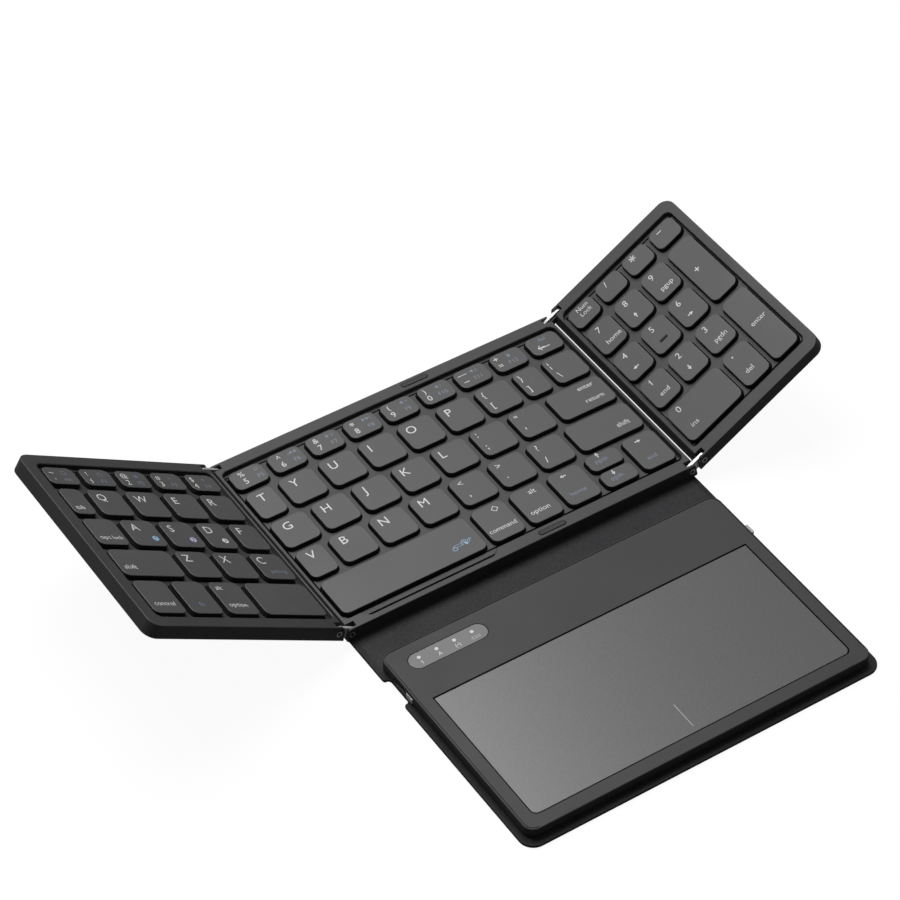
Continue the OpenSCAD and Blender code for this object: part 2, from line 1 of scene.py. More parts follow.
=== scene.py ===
import bmesh, bpy, math
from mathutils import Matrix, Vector


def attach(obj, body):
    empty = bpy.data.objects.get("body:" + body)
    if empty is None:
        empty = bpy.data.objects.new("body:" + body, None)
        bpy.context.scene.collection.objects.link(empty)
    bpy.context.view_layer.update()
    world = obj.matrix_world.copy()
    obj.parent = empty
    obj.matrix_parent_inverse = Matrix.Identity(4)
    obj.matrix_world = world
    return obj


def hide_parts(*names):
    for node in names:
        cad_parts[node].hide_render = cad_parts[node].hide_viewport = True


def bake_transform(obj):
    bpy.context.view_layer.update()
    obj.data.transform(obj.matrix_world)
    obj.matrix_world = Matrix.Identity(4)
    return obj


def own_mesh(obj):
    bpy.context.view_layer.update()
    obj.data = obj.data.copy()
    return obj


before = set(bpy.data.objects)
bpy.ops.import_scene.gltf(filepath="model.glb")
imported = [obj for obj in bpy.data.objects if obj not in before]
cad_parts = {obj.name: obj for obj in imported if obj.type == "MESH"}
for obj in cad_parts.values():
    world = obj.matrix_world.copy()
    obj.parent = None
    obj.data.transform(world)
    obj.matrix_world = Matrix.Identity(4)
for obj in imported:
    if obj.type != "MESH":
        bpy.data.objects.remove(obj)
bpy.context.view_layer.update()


# Leather cover. One sheet of coated leather on a thin stiff core, bonded under the centre panel
# and under the touchpad panel. The free strip between the two is the spine: it bends at its two
# edges when the cover is closed. The sheet is made in two halves that meet on the spine.

def at_origin():
    """Brings the place, turn and scale of the selected pieces into their meshes."""
    bpy.ops.object.transform_apply(location=True, rotation=True, scale=True)


def leave():
    """Leaves edit mode."""
    bpy.ops.object.mode_set(mode="OBJECT")


def select(*pieces):
    """Selects only these pieces, the first of them active, or nothing."""
    bpy.ops.object.select_all(action="DESELECT")
    for piece in pieces:
        piece.select_set(True)
        bpy.context.view_layer.objects.active = pieces[0]


def joined(pieces, name=None):
    """Joins pieces into the first of them, and names it if a name is given."""
    select(*pieces)
    if len(pieces) > 1:
        bpy.ops.object.join()
    if name:
        pieces[0].name = pieces[0].data.name = name
    return pieces[0]


def block(name, low, high):
    """A block between two corners, in millimetres, from which a piece is shaped."""
    if bpy.context.mode != "OBJECT":
        leave()
    select()
    bpy.ops.mesh.primitive_cube_add(size=1, location=[(a + b)/2 for a, b in zip(low, high)])
    piece = bpy.context.object
    piece.name = piece.data.name = name
    piece.scale = [b - a for a, b in zip(low, high)]
    at_origin()
    return piece


def pick(piece, kind, wanted):
    """Opens a piece for editing with only the wanted edges or faces selected, by their points."""
    if bpy.context.mode != "EDIT_MESH":
        select(piece)
        bpy.ops.object.mode_set(mode="EDIT")
    bpy.ops.mesh.select_mode(type=kind)
    bpy.ops.mesh.select_all(action="DESELECT")
    mesh = bmesh.from_edit_mesh(piece.data)
    for part in (mesh.edges if kind == "EDGE" else mesh.faces):
        part.select_set(wanted([corner.co for corner in part.verts]))
    bmesh.update_edit_mesh(piece.data)


def round_over(piece, wanted, radius, steps):
    """Rounds the wanted edges of a piece."""
    pick(piece, "EDGE", wanted)
    bpy.ops.mesh.bevel(offset=radius, segments=steps, affect="EDGES")
    leave()


def upright(corners):
    """Whether an edge stands upright."""
    return abs(corners[0].z - corners[1].z) > 0.5


def cut(piece, *tools):
    """Cuts the tools out of a piece, as one cut."""
    tool = joined(tools)
    select(piece)
    bpy.ops.object.modifier_add(type="BOOLEAN")
    piece.modifiers[-1].operation = "DIFFERENCE"
    piece.modifiers[-1].object = tool
    bpy.ops.object.modifier_apply(modifier=piece.modifiers[-1].name)
    bpy.data.objects.remove(tool)


def settle(piece, place=((0, 0, 0), 0), finish=None):
    """Shades a finished piece and brings it from millimetres on its panel to its place."""
    select(piece)
    bpy.ops.object.shade_smooth_by_angle(angle=math.radians(35))
    bpy.ops.object.modifier_add(type="WEIGHTED_NORMAL")
    piece.modifiers[-1].keep_sharp = True
    bpy.ops.object.modifier_apply(modifier=piece.modifiers[-1].name)
    piece.location = [v/1000 for v in place[0]]
    piece.rotation_euler = (0, math.radians(place[1]), 0)
    piece.scale = (0.001, 0.001, 0.001)
    at_origin()
    if finish:
        piece.data.materials.clear()
        piece.data.materials.append(finish)
    return piece


def surface(name, colour, roughness, **sockets):
    """A new material of one colour and roughness, to which its grain is added."""
    material = bpy.data.materials.new(name)
    material.use_nodes = True
    shader = material.node_tree.nodes["Principled BSDF"]
    shader.inputs["Base Color"].default_value = (*colour, 1)
    shader.inputs["Roughness"].default_value = roughness
    for socket, value in sockets.items():
        shader.inputs[socket.replace("_", " ")].default_value = value
    return material, shader


def node(material, kind, wires, **settings):
    """Adds a node to a material or the world, with its settings and its inputs' values or wires."""
    made = material.node_tree.nodes.new("ShaderNode" + kind)
    for key, value in settings.items():
        setattr(made, key, value)
    for key, value in wires.items():
        if isinstance(value, bpy.types.NodeSocket):
            material.node_tree.links.new(value, made.inputs[key])
        else:
            made.inputs[key].default_value = value
    return made


def own(material):
    """The piece's own coordinates, in metres."""
    return node(material, "TexCoord", {}).outputs["Object"]


def mapped(material, value, low, high, to_low, to_high):
    """Carries a range of values over to another range."""
    return node(material, "MapRange", {"Value": value, 1: low, 2: high, 3: to_low,
                                       4: to_high}).outputs["Result"]


def noise(material, at, scale, detail, **more):
    """Cloudy variation from 0 to 1, its scale per metre."""
    return node(material, "TexNoise", {"Vector": at, "Scale": scale, "Detail": detail,
                                       **more}).outputs["Fac"]


def worked(material, operation, *values):
    """One step of arithmetic on nodes' outputs and numbers."""
    return node(material, "Math", dict(enumerate(values)), operation=operation).outputs[0]


def tones(material, level_from, stops):
    """Colours along a level, each stop a place and a colour."""
    made = node(material, "ValToRGB", {"Fac": level_from})
    while len(made.color_ramp.elements) < len(stops):
        made.color_ramp.elements.new(0.5)
    for element, (place, colour) in zip(made.color_ramp.elements, stops):
        element.position = place
        element.color = (*colour, 1)
    return made.outputs["Color"]


def bumped(material, shader, strength, distance, height):
    """Raises a relief on a material from a height."""
    bump = node(material, "Bump", {"Strength": strength, "Distance": distance, "Height": height})
    wire(material, bump.outputs["Normal"], shader.inputs["Normal"])


def shade(colour, by):
    """A colour made lighter or darker."""
    return tuple(channel*by for channel in colour)


def wire(material, out, into):
    """Joins the output of one node to the input of another."""
    material.node_tree.links.new(out, into)


hide_colour = (0.025, 0.025, 0.027)
leather, hide = surface("leather", hide_colour, 0.6, Specular_IOR_Level=0.2)
at = own(leather)
warp = node(leather, "TexNoise", {"Vector": at, "Scale": 700, "Detail": 2})
bent = node(leather, "VectorMath", {0: warp.outputs["Color"], 1: (0.0006, 0.0006, 0.0006)},
            operation="MULTIPLY").outputs["Vector"]
place = node(leather, "VectorMath", {0: at, 1: bent}, operation="ADD").outputs["Vector"]
pebble = node(leather, "TexVoronoi", {"Vector": place, "Scale": 1250}, feature="SMOOTH_F1")
pore = noise(leather, at, 5200, 3)
drift = noise(leather, at, 45, 3)
height = mapped(leather, pebble.outputs["Distance"], 0.1, 0.75, 1, 0)
bumped(leather, hide, 0.5, 0.00012, worked(leather, "ADD", height, worked(leather, "MULTIPLY", pore, 0.18)))
# The grain is coloured by its own relief, darker in its hollows and lighter on its pebbles: painted shade
# and light of the relief.
relief_painted_shade = tones(leather, height, [(0.1, shade(hide_colour, 0.72)), (0.75, shade(hide_colour, 1.12))])
worn = mapped(leather, drift, 0.35, 0.65, 0.9, 1.1)
apart = node(leather, "SeparateXYZ", {0: at})
# The leather beyond 76.6 mm to either side and in front of the touchpad case is darkened to 0.45 of its
# colour: painted shadow of the case standing on it.
side_painted_shadow = mapped(leather, worked(leather, "ABSOLUTE", apart.outputs["X"]), 0.0758, 0.0766, 1, 0.45)
front_painted_shadow = mapped(leather, apart.outputs["Y"], -0.1656, -0.1648, 0.45, 1)
case_painted_shadow = worked(leather, "MINIMUM", side_painted_shadow, front_painted_shadow)
toned = node(leather, "VectorMath", {0: relief_painted_shade, "Scale": worked(leather, "MULTIPLY", worn, case_painted_shadow)},
             operation="SCALE")
wire(leather, toned.outputs["Vector"], hide.inputs["Base Color"])
wire(leather, mapped(leather, drift, 0.3, 0.7, 0.52, 0.66), hide.inputs["Roughness"])

leather_edge, leather_rear, leather_front = 78.5, 51, -168
leather_thick = 1.2
spine_middle = -58.55
fold_step = 0.24


def sheet_with_folds(sheet, folds):
    """Gives a sheet rows of edges across each fold, so that it can bend there."""
    pick(sheet, "FACE", lambda corners: True)
    for y in folds:
        bpy.ops.mesh.select_all(action="SELECT")
        bpy.ops.mesh.bisect(plane_co=(0, y, 0), plane_no=(0, 1, 0))
    leave()


def along_sides(end_y):
    """The sheet's edges, apart from those on its cut end at end_y."""
    return lambda corners: (abs(corners[0].z - corners[1].z) < 0.1
                            and not all(abs(corner.y - end_y) < 0.01 for corner in corners))


base = block("base_sheet", (-leather_edge, spine_middle, 0), (leather_edge, leather_rear, leather_thick))
round_over(base, lambda corners: upright(corners) and corners[0].y > 0, 3, 6)
round_over(base, along_sides(spine_middle), 0.3, 3)
sheet_with_folds(base, [-49.2 - fold_step*step for step in range(11)])
settle(base, finish=leather)
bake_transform(base)
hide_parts("base_leather", "spine_leather")

cover = block("cover_sheet", (-leather_edge, leather_front, 0),
              (leather_edge, spine_middle, leather_thick))
round_over(cover, lambda corners: upright(corners) and corners[0].y < -100, 6, 8)
notch_deep = 2.4
port_notch = block("port_notch", (-90, -87.7, -1), (-leather_edge + notch_deep, -74.1, 3))
round_over(port_notch, lambda corners: upright(corners) and corners[0].x > -80, 1.6, 5)
switch_notch = block("switch_notch", (leather_edge - notch_deep, -90.15, -1), (90, -76.95, 3))
round_over(switch_notch, lambda corners: upright(corners) and corners[0].x < 80, 1.6, 5)
cut(cover, port_notch, switch_notch)
round_over(cover, lambda c: upright(c) and abs(c[0].x) > leather_edge - 0.1 and -95 < c[0].y < -70, 1.3, 5)
round_over(cover, along_sides(spine_middle), 0.3, 3)
dashes = []
for x in (-67, 67):
    for y in (-164.2, -71.6):
        dash = block("dash", (x - 5, y - 0.35, -1), (x + 5, y + 0.35, 0.35))
        round_over(dash, upright, 0.3, 3)
        dashes.append(dash)
cut(cover, *dashes)
sheet_with_folds(cover, [-65.5 - fold_step*step for step in range(11)])
settle(cover, finish=leather)
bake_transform(cover)
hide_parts("cover_leather")


# Flat ribbon of polyimide film with printed copper, laid inside the spine between the leather's
# two faces, from the touchpad panel's board to the keyboard.

def carried(name, finish):
    """Gives a piece that is kept as it was constructed its finish."""
    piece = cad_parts[name]
    piece.data.materials.clear()
    piece.data.materials.append(finish)
    return piece


amber = (0.33, 0.15, 0.03)
ribbon_film, film = surface("ribbon_film", amber, 0.35)
at = own(ribbon_film)
tracks = node(ribbon_film, "TexWave", {"Vector": at, "Scale": 420, "Distortion": 0.2,
                                       "Detail": 1}, bands_direction="X")
wire(ribbon_film, tones(ribbon_film, tracks.outputs["Fac"], [(0.35, amber), (0.6, (0.42, 0.2, 0.06))]),
     film.inputs["Base Color"])
bumped(ribbon_film, film, 0.3, 0.00002, tracks.outputs["Fac"])
carried("spine_ribbon", ribbon_film)


# Casings of the three key panels. Each is moulded in matt dark plastic: a raised rim round a sunk
# deck with a well for every key, a sloping wall along each seam, and a bay for the hinge link at
# both ends of the seam. The centre panel also has the thumb hollow in front of the space key.

def moulded(name, colour, roughness, grain, depth, drift_by=0.06, **sockets):
    """Moulded plastic or rubber: spark-eroded grain as bump, slow drift in tone and gloss."""
    material, shader = surface(name, colour, roughness, **sockets)
    at = own(material)
    fine = noise(material, at, 1/grain, 4, Roughness=0.65)
    slow = noise(material, at, 38, 2)
    mix = worked(material, "MULTIPLY", worked(material, "ADD", fine, slow), 0.5)
    wire(material, tones(material, mix, [(0.35, shade(colour, 1 - drift_by)),
                                         (0.65, shade(colour, 1 + drift_by))]),
         shader.inputs["Base Color"])
    gloss = mapped(material, slow, 0.3, 0.7, roughness - 0.04, roughness + 0.05)
    wire(material, gloss, shader.inputs["Roughness"])
    bumped(material, shader, 0.35, depth, fine)
    return material


casing_plastic = moulded("casing_plastic", (0.045, 0.045, 0.047), 0.5, 0.00028, 0.00004,
                         Specular_IOR_Level=0.4)

panel_front, panel_rear = -50.8, 50.8
panel_top, panel_base, deck = 3, -3, 1
deck_edge, deck_corner = 45.3, 2.8
tilt = 31.7
pivot, pivot_height, pivot_gap = 77.3, 4.2, 6.5
wing_x = pivot + pivot_gap*math.cos(math.radians(tilt))
wing_z = pivot_height + pivot_gap*math.sin(math.radians(tilt))
centre_place = ((0, 0, pivot_height), 0)
left_place = ((-wing_x, 0, wing_z), tilt)
right_place = ((wing_x, 0, wing_z), -tilt)


def spots(shares, start, end, gap):
    """Where the keys of a row begin and end, from their widths as shares of one key."""
    one = (end - start - gap*(len(shares) - 1))/sum(shares)
    found = []
    for share in shares:
        found.append((start, start + share*one))
        start += share*one + gap
    return found


key_gap, pad_gap = 2.55, 2.1
rows = [(43.3, 32.8), (30.2, 14.6), (12, -3.6), (-6.2, -21.8), (-24.4, -43.3)]


def key_boxes(widths, start, end, gap):
    """The boxes of a panel's keys row by row, each as left, front, right and rear."""
    return [[(x0, front, x1, rear) for x0, x1 in spots(shares, start, end, gap)]
            for shares, (rear, front) in zip(widths, rows)]


centre_keys = key_boxes([[1]*9, [0.77, 1, 1, 1, 1, 1, 1, 0.74, 1], [1]*7 + [1.665],
                         [0.77, 1, 1, 1, 1, 1, 1, 1.9], [4.29, 1, 1, 1, 1, 1]], -75.9, 75.9, key_gap)
up_down = centre_keys[4].pop(4)
arrow_gap = (up_down[1] + up_down[3])/2
centre_keys[4].insert(4, (up_down[0], arrow_gap + 0.7, up_down[2], up_down[3]))
centre_keys[4].insert(5, (up_down[0], up_down[1], up_down[2], arrow_gap - 0.7))
left_keys = key_boxes([[1]*5, [0.68, 1, 1, 1, 1], [0.93, 1, 1, 0.86, 0.86], [1.87, 1, 1, 1],
                       [1.03, 1, 1, 2.04]], -83.62, -1.3, key_gap)
right_keys = key_boxes([[1]*4]*5, 1.1, 59.18, pad_gap)
plus_box = (right_keys[1][3][0], right_keys[2][3][1], right_keys[1][3][2], right_keys[1][3][3])
pad_enter_box = (right_keys[3][3][0], right_keys[4][3][1], right_keys[3][3][2], right_keys[3][3][3])
zero_box = (right_keys[4][0][0], right_keys[4][0][1], right_keys[4][1][2], right_keys[4][0][3])
right_boxes = (right_keys[0] + right_keys[1][:3] + right_keys[2][:3] + right_keys[3][:3]
               + right_keys[4][2:3] + [plus_box, pad_enter_box, zero_box])


def corner_of(box):
    """The corner radius of a cap."""
    return min(2.8, (box[3] - box[1])/2 - 1.2)


def level(z):
    """A test for edges and faces that lie at this height."""
    return lambda corners: all(abs(corner.z - z) < 0.001 for corner in corners)


lip = 0.25


def flared(tool, wider, centre):
    """Widens a tool over the height of the lip, and takes it on past the panel's top."""
    pick(tool, "FACE", level(panel_top - lip))
    bpy.ops.mesh.extrude_region_move(TRANSFORM_OT_translate={"value": (0, 0, lip)})
    bpy.ops.transform.resize(value=(*wider, 1), center_override=(*centre, panel_top))
    bpy.ops.mesh.extrude_region_move(TRANSFORM_OT_translate={"value": (0, 0, 2)})
    leave()
    return tool


def pocket(x0, y0, x1, y1, floor, radius):
    """A tool for a pocket from the panel's top down to a floor, with an eased upper edge."""
    tool = block("pocket", (x0, y0, floor), (x1, y1, panel_top - lip))
    round_over(tool, upright, radius, 6)
    return flared(tool, ((x1 - x0 + 2*lip)/(x1 - x0), (y1 - y0 + 2*lip)/(y1 - y0)),
                  ((x0 + x1)/2, (y0 + y1)/2))


def rounded_tool(low, high, radius, steps=6):
    """A tool with rounded upright edges."""
    tool = block("tool", low, high)
    round_over(tool, upright, radius, steps)
    return tool


well_gap = 0.35


def well(box):
    """A tool for the well of one key."""
    return rounded_tool((box[0] - well_gap, box[1] - well_gap, -1.5),
                        (box[2] + well_gap, box[3] + well_gap, 2), corner_of(box) + well_gap)


def bore(x, y, z, radius, deep, across=True):
    """A tool for a round hole, along Y or, where across is false, upwards."""
    select()
    bpy.ops.mesh.primitive_cylinder_add(vertices=24, radius=radius, depth=deep, location=(x, y, z),
                                        rotation=(math.pi/2 if across else 0, 0, 0))
    at_origin()
    return bpy.context.object


screw_hole = 0.71


def hollow_panel(casing, x0, x1, screws):
    """Opens a casing from below for its sheets and its bottom plate, and drills its screw holes."""
    cut(casing, rounded_tool((x0, -44.7, -2.1), (x1, 44.7, -1.4), 2))
    cut(casing, rounded_tool((x0, -49.2, -5), (x1, 49.2, -2), 3))
    cut(casing, *[bore(x, y, -1, screw_hole, 3, False) for x in screws for y in (-47.3, 47.3)])


bay_end, bay_wide = 49.8, 2.5


def seam_bays(casing, x, side):
    """Cuts the link bays and the screw holes at both ends of the seam at x."""
    inner, outer = x - side*2.45, x + side*20
    cut(casing, *[block("bay", (min(inner, outer), low, -2.45), (max(inner, outer), low + bay_wide, 20))
                  for low in (-bay_end, bay_end - bay_wide)])
    cut(casing, *[bore(x, end*49.6, 0, screw_hole, 8) for end in (-1, 1)])
    cut(casing, *[bore(x, end*51, 0, 1.25, 1.4) for end in (-1, 1)])


def deck_gap(casing, outer, inner):
    """Cuts the narrow gap round the outermost keys, where the key deck is let into its frame."""
    ring = block("gap", (outer[0], -43.9, -0.6), (outer[1], 43.8, 2))
    cut(ring, block("inside", (inner[0], -43.1, -2), (inner[1], 43.1, 4)))
    cut(casing, ring)


def lug_corners(casing, edge, out):
    """Rounds the upper corners of the thin walls that take the hinge screws."""
    for y in (-50.3, 50.3):
        low, high = sorted((edge - out*1.2, edge + out))
        corner = block("corner", (low, y - 0.52, 1.5), (high, y + 0.52, 3.3))
        cut(corner, bore(edge - out*1.2, y, 1.5, 1.5, 2))
        cut(casing, corner)


centre = block("centre_casing", (-78.5, panel_front, panel_base), (78.5, panel_rear, panel_top))
pick(centre, "EDGE", level(panel_base))
bpy.ops.transform.resize(value=(79.95/78.5, 1, 1), center_override=(0, 0, panel_base))
leave()
round_over(centre, lambda c: level(panel_base)(c) and abs(c[0].x - c[1].x) < 0.01, 1.2, 5)
round_over(centre, lambda c: level(panel_base)(c) and all(v.y < panel_front + 0.01 for v in c), 0.8, 2)
round_over(centre, level(panel_top), 0.38, 4)
cut(centre, pocket(-77.2, -deck_edge, 77.2, deck_edge, deck, deck_corner))
scoop = block("scoop", (-71.1, -48.3, deck), (-9.3, -44.5, panel_top - lip))
pick(scoop, "EDGE", lambda c: upright(c) and c[0].y < -48)
bpy.ops.transform.resize(value=((61.8 - 6.8)/61.8, 1, 1), center_override=(-40.2, -48.3, 2))
leave()
round_over(scoop, lambda c: upright(c) and c[0].y < -48, 1.4, 5)
cut(centre, flared(scoop, (62.3/61.8, 4.05/3.8), (-40.2, -44.5)))
groove = block("groove", (-69.5, -46.9, 0), (-10.5, -46, 2))
tip = block("groove_tip", (-69.7, -46.7, 0), (-68.6, -44, 2))
pick(tip, "FACE", lambda c: all(v.y > -44.1 for v in c))
bpy.ops.transform.translate(value=(-1.6, 0, 0))
leave()
cut(centre, groove)
cut(centre, tip)
cut(centre, *[well(box) for row in centre_keys for box in row])
deck_gap(centre, (-76.45, 77.1), (-75.8, 76.6))
hollow_panel(centre, -73.6, 73.6, (-64.6, 0, 64.6))
for side in (-1, 1):
    seam_bays(centre, side*pivot, side)
    lug_corners(centre, side*78.5, side)
cut(centre, *[block("notch", (min(x, x*1.2), -8, -20), (max(x, x*1.2), 11.5, 20)) for x in (-79.2, 79.2)])
bumper_x, bumper_rows = 13.42, (-48.2, 48.2)
cut(centre, *[rounded_tool((bumper_x - 6.2, y - 1.3, 2.4), (bumper_x + 6.2, y + 1.3, 5), 1.28)
              for y in bumper_rows])
settle(centre, centre_place, casing_plastic)
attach(centre, "centre_panel")
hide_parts("centre_frame")


def wing_casing(name, reach, rim, boxes, gap, screws, side):
    """A wing's casing, from its seam wall at x = 0 to its outer side at the reach."""
    def x(value):
        return side*value
    low, high = sorted((x(-1.2), x(reach)))
    wing = block(name, (low, panel_front, panel_base), (high, panel_rear, panel_top))
    round_over(wing, lambda c: upright(c) and side*c[0].x > 10, 5, 9)
    pick(wing, "EDGE", lambda c: level(panel_base)(c) and all(side*v.x < 0 for v in c))
    bpy.ops.transform.translate(value=(x(-2.5), 0, 0))
    leave()
    round_over(wing, lambda c: level(panel_base)(c) and all(side*v.x < 0 for v in c), 0.4, 3)
    round_over(wing, lambda c: level(panel_base)(c) and any(side*v.x > 2 for v in c), 0.45, 3)
    round_over(wing, level(panel_top), 0.38, 4)
    low, high = sorted((x(-0.1), x(reach - rim)))
    cut(wing, pocket(low, -deck_edge, high, deck_edge, deck, deck_corner))
    cut(wing, *[well(box) for box in boxes])
    deck_gap(wing, *gap)
    low, high = sorted((x(3.7), x(reach - 2)))
    hollow_panel(wing, low, high, [x(place) for place in screws])
    seam_bays(wing, 0, -side)
    lug_corners(wing, x(-1.2), -side)
    return wing


left = wing_casing("left_casing", 89.82, 5.4, [box for row in left_keys for box in row],
                   ((-84.17, -0.9), (-83.52, 1)), (8.7, 44.91, 81.82), -1)
settle(left, left_place, casing_plastic)
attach(left, "left_wing")
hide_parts("left_frame")
right = wing_casing("right_casing", 63.98, 3.8, right_boxes, ((0.55, 60.1), (1.2, 59.65)),
                    (8.7, 55.98), 1)
settle(right, right_place, casing_plastic)
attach(right, "right_wing")
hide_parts("right_frame")


# Bottom plates of the key panels, pressed from thin sheet and powder coated, each held by
# countersunk cross-head screws of plain steel near its corners.

plate_paint = moulded("plate_paint", (0.045, 0.045, 0.047), 0.45, 0.0005, 0.00005,
                      Metallic=0.2)


def grained(name, colour, roughness, scale, dull, detail=3, **sockets):
    """A metal whose gloss varies between two values with a fine grain."""
    material, shader = surface(name, colour, roughness, **sockets)
    at = own(material)
    grain = noise(material, at, scale, detail)
    wire(material, mapped(material, grain, 0.3, 0.7, *dull), shader.inputs["Roughness"])
    return material, shader, at, grain


screw_steel, steel, at, turned = grained("screw_steel", (0.42, 0.42, 0.43), 0.3, 3000, (0.24, 0.42),
                                         Metallic=1.0)
wire(screw_steel, tones(screw_steel, turned, [(0.3, (0.36, 0.36, 0.37)), (0.7, (0.47, 0.47, 0.48))]),
     steel.inputs["Base Color"])
for panel in ("centre", "left", "right"):
    carried(panel + "_bottom_plate", plate_paint)
    carried(panel + "_plate_screws", screw_steel)
carried("case_screws", screw_steel)


# Membrane and domes under the keys: a printed circuit film on each bottom plate, and on it a sheet
# of smoke-grey silicone with a dome for each key.

membrane_film = moulded("membrane_film", (0.03, 0.032, 0.034), 0.35, 0.002, 0.00002, 0.2)
dome_silicone = moulded("dome_silicone", (0.02, 0.02, 0.022), 0.55, 0.0006, 0.00003)
sheet_top = -1.42
for panel, body, place, x0, x1 in (("centre", "centre_panel", centre_place, -73.45, 73.45),
                                   ("left", "left_wing", left_place, -87.67, -3.85),
                                   ("right", "right_wing", right_place, 3.85, 61.83)):
    carried(panel + "_membrane", membrane_film)
    dome_sheet = rounded_tool((x0, -44.55, -1.7), (x1, 44.55, sheet_top), 2)
    settle(joined([dome_sheet], panel + "_dome_sheet"), place, dome_silicone)
    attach(dome_sheet, body)
    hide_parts(panel + "_domes")


def domes_under(name, place, boxes):
    """A dome under each cap of a row. They give way together when the row is pressed."""
    side = {0: "centre", tilt: "left", -tilt: "right"}[place[1]]
    domes = []
    for box in boxes:
        select()
        bpy.ops.mesh.primitive_cone_add(vertices=20, radius1=2.2, radius2=1.1, depth=1.28,
                                        location=((box[0] + box[2])/2, (box[1] + box[3])/2, -0.78))
        at_origin()
        dome = bpy.context.object
        round_over(dome, level(-0.14), 0.25, 3)
        domes.append(dome)
    row = settle(joined(domes, name), place, dome_silicone)
    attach(row, "centre_panel" if side == "centre" else side + "_wing")
    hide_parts(side + "_domes")
    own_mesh(row)


# Keys. Flat caps with rounded corners and a soft upper edge, hollow below, with a short stem that
# meets the dome. Their tops are matt grey and pad printed with the legends, white, the second ones
# pale blue. Their sides and stems are near-black plastic; on the sides this is painted shade.

key_plastic = moulded("key_plastic", (0.09, 0.09, 0.092), 0.46, 0.0002, 0.00003,
                      Specular_IOR_Level=0.4)


def ink(name, colour):
    """Pad-printed ink: thin, slightly uneven and a little glossier than the cap under it."""
    material, shader = surface(name, colour, 0.4)
    patchy = noise(material, own(material), 2600, 2)
    wire(material, tones(material, patchy, [(0.3, shade(colour, 0.86)), (0.7, colour)]),
         shader.inputs["Base Color"])
    return material


white_ink = ink("white_ink", (0.86, 0.86, 0.86))
blue = ink("blue_ink", (0.22, 0.265, 0.35))
sky_ink = ink("sky_ink", (0.36, 0.6, 0.82))
violet_ink = ink("violet_ink", (0.6, 0.6, 0.82))
dark_ink = ink("dark_ink", (0.035, 0.035, 0.036))
# Near-black for the cap sides, the stems and the home bar: painted shade on the sides and the bar.
cap_black_painted_shade = moulded("cap_black_painted_shade", (0.012, 0.012, 0.0125), 0.5, 0.0002, 0.00003,
                    Specular_IOR_Level=0.2)
cap_skin, cap_base = 0.9, 0.3


def model_cap(width, depth):
    """One cap, centred, its top at the level of the panel's top."""
    cap = block("cap", (-width/2, -depth/2, cap_base), (width/2, depth/2, panel_top))
    round_over(cap, upright, corner_of((0, 0, width, depth)), 6)
    pick(cap, "FACE", level(panel_top))
    bpy.ops.transform.resize(value=((width - 0.3)/width, (depth - 0.3)/depth, 1),
                             center_override=(0, 0, panel_top))
    leave()
    round_over(cap, level(panel_top), 0.32, 4)
    pick(cap, "FACE", level(cap_base))
    bpy.ops.mesh.inset(thickness=1)
    bpy.ops.transform.translate(value=(0, 0, panel_top - cap_skin - cap_base))
    leave()
    cap.data.materials.append(key_plastic)
    cap.data.materials.append(cap_black_painted_shade)
    # Every face below the top's rounded edge gets the near-black plastic: painted shade on the cap's sides.
    pick(cap, "FACE", lambda c: min(v.z for v in c) < panel_top - 0.25)
    cap.active_material_index = 1
    bpy.ops.object.material_slot_assign()
    leave()
    return cap


cap_models = {}


def cap_at(box):
    """A copy of the cap of this size, on its box, with the stem under it."""
    size = (round(box[2] - box[0], 2), round(box[3] - box[1], 2))
    if size not in cap_models:
        cap = model_cap(*size)
        stem = bore(0, 0, 1.1, 1.2, 2.4, False)
        stem.data.materials.append(cap_black_painted_shade)
        cap_models[size] = joined([cap, stem])
    select(cap_models[size])
    bpy.ops.object.duplicate()
    bpy.ops.transform.translate(value=((box[0] + box[2])/2, (box[1] + box[3])/2, 0))
    return bpy.context.object


ink_level, ink_thick = panel_top + 0.005, 0.03


def as_mesh():
    """Turns the selected lettering into meshes."""
    bpy.ops.object.convert(target="MESH")
    at_origin()


def legend(text, x, y, size, colour=None, turn=0, lift=0):
    """One printed legend, centred on x and the middle of its capitals at y.

    The font's 1 is a bare stroke, so it gets its flag here.
    """
    select()
    drop = 0.23 if text.islower() and len(text) > 1 else 0.34
    bpy.ops.object.text_add(location=(x, y - drop*size, ink_level + lift),
                            rotation=(0, 0, turn))
    print_ = bpy.context.object
    print_.data.body = text
    print_.data.size = size
    print_.data.align_x = "CENTER"
    print_.data.extrude = ink_thick/2
    print_.data.resolution_u = 3
    print_.data.offset = 0.006*size if text in "–—*/+\\" else 0
    print_.data.materials.append(colour or white_ink)
    if text != "1":
        return print_
    flag = block("flag", (x - 0.24*size, y + 0.2*size, ink_level - ink_thick/2 + lift),
                 (x + 0.03*size, y + 0.27*size, ink_level + ink_thick/2 + lift))
    bpy.ops.object.mode_set(mode="EDIT")
    bpy.ops.mesh.select_all(action="SELECT")
    bpy.ops.transform.rotate(value=-0.65, orient_axis="Z",
                             center_override=(x, y + 0.3*size, panel_top))
    leave()
    flag.data.materials.append(colour or white_ink)
    select(print_)
    as_mesh()
    return joined([print_, flag])


def arrow(x, y, turn):
    """A printed arrow, pointing right before its turn in degrees."""
    shaft = block("arrow", (x - 1.2, y - 0.24, ink_level - ink_thick/2),
                  (x + 0.3, y + 0.24, ink_level + ink_thick/2))
    shaft.data.materials.append(white_ink)
    bpy.ops.mesh.primitive_cylinder_add(vertices=3, radius=0.95, depth=ink_thick,
                                        location=(x + 0.55, y, ink_level),
                                        rotation=(0, 0, -math.pi/2))
    at_origin()
    bpy.context.object.data.materials.append(white_ink)
    joined([shaft, bpy.context.object])
    pick(shaft, "FACE", lambda c: True)
    bpy.ops.transform.rotate(value=-math.radians(turn), orient_axis="Z",
                             center_override=(x, y, panel_top))
    leave()
    return shaft


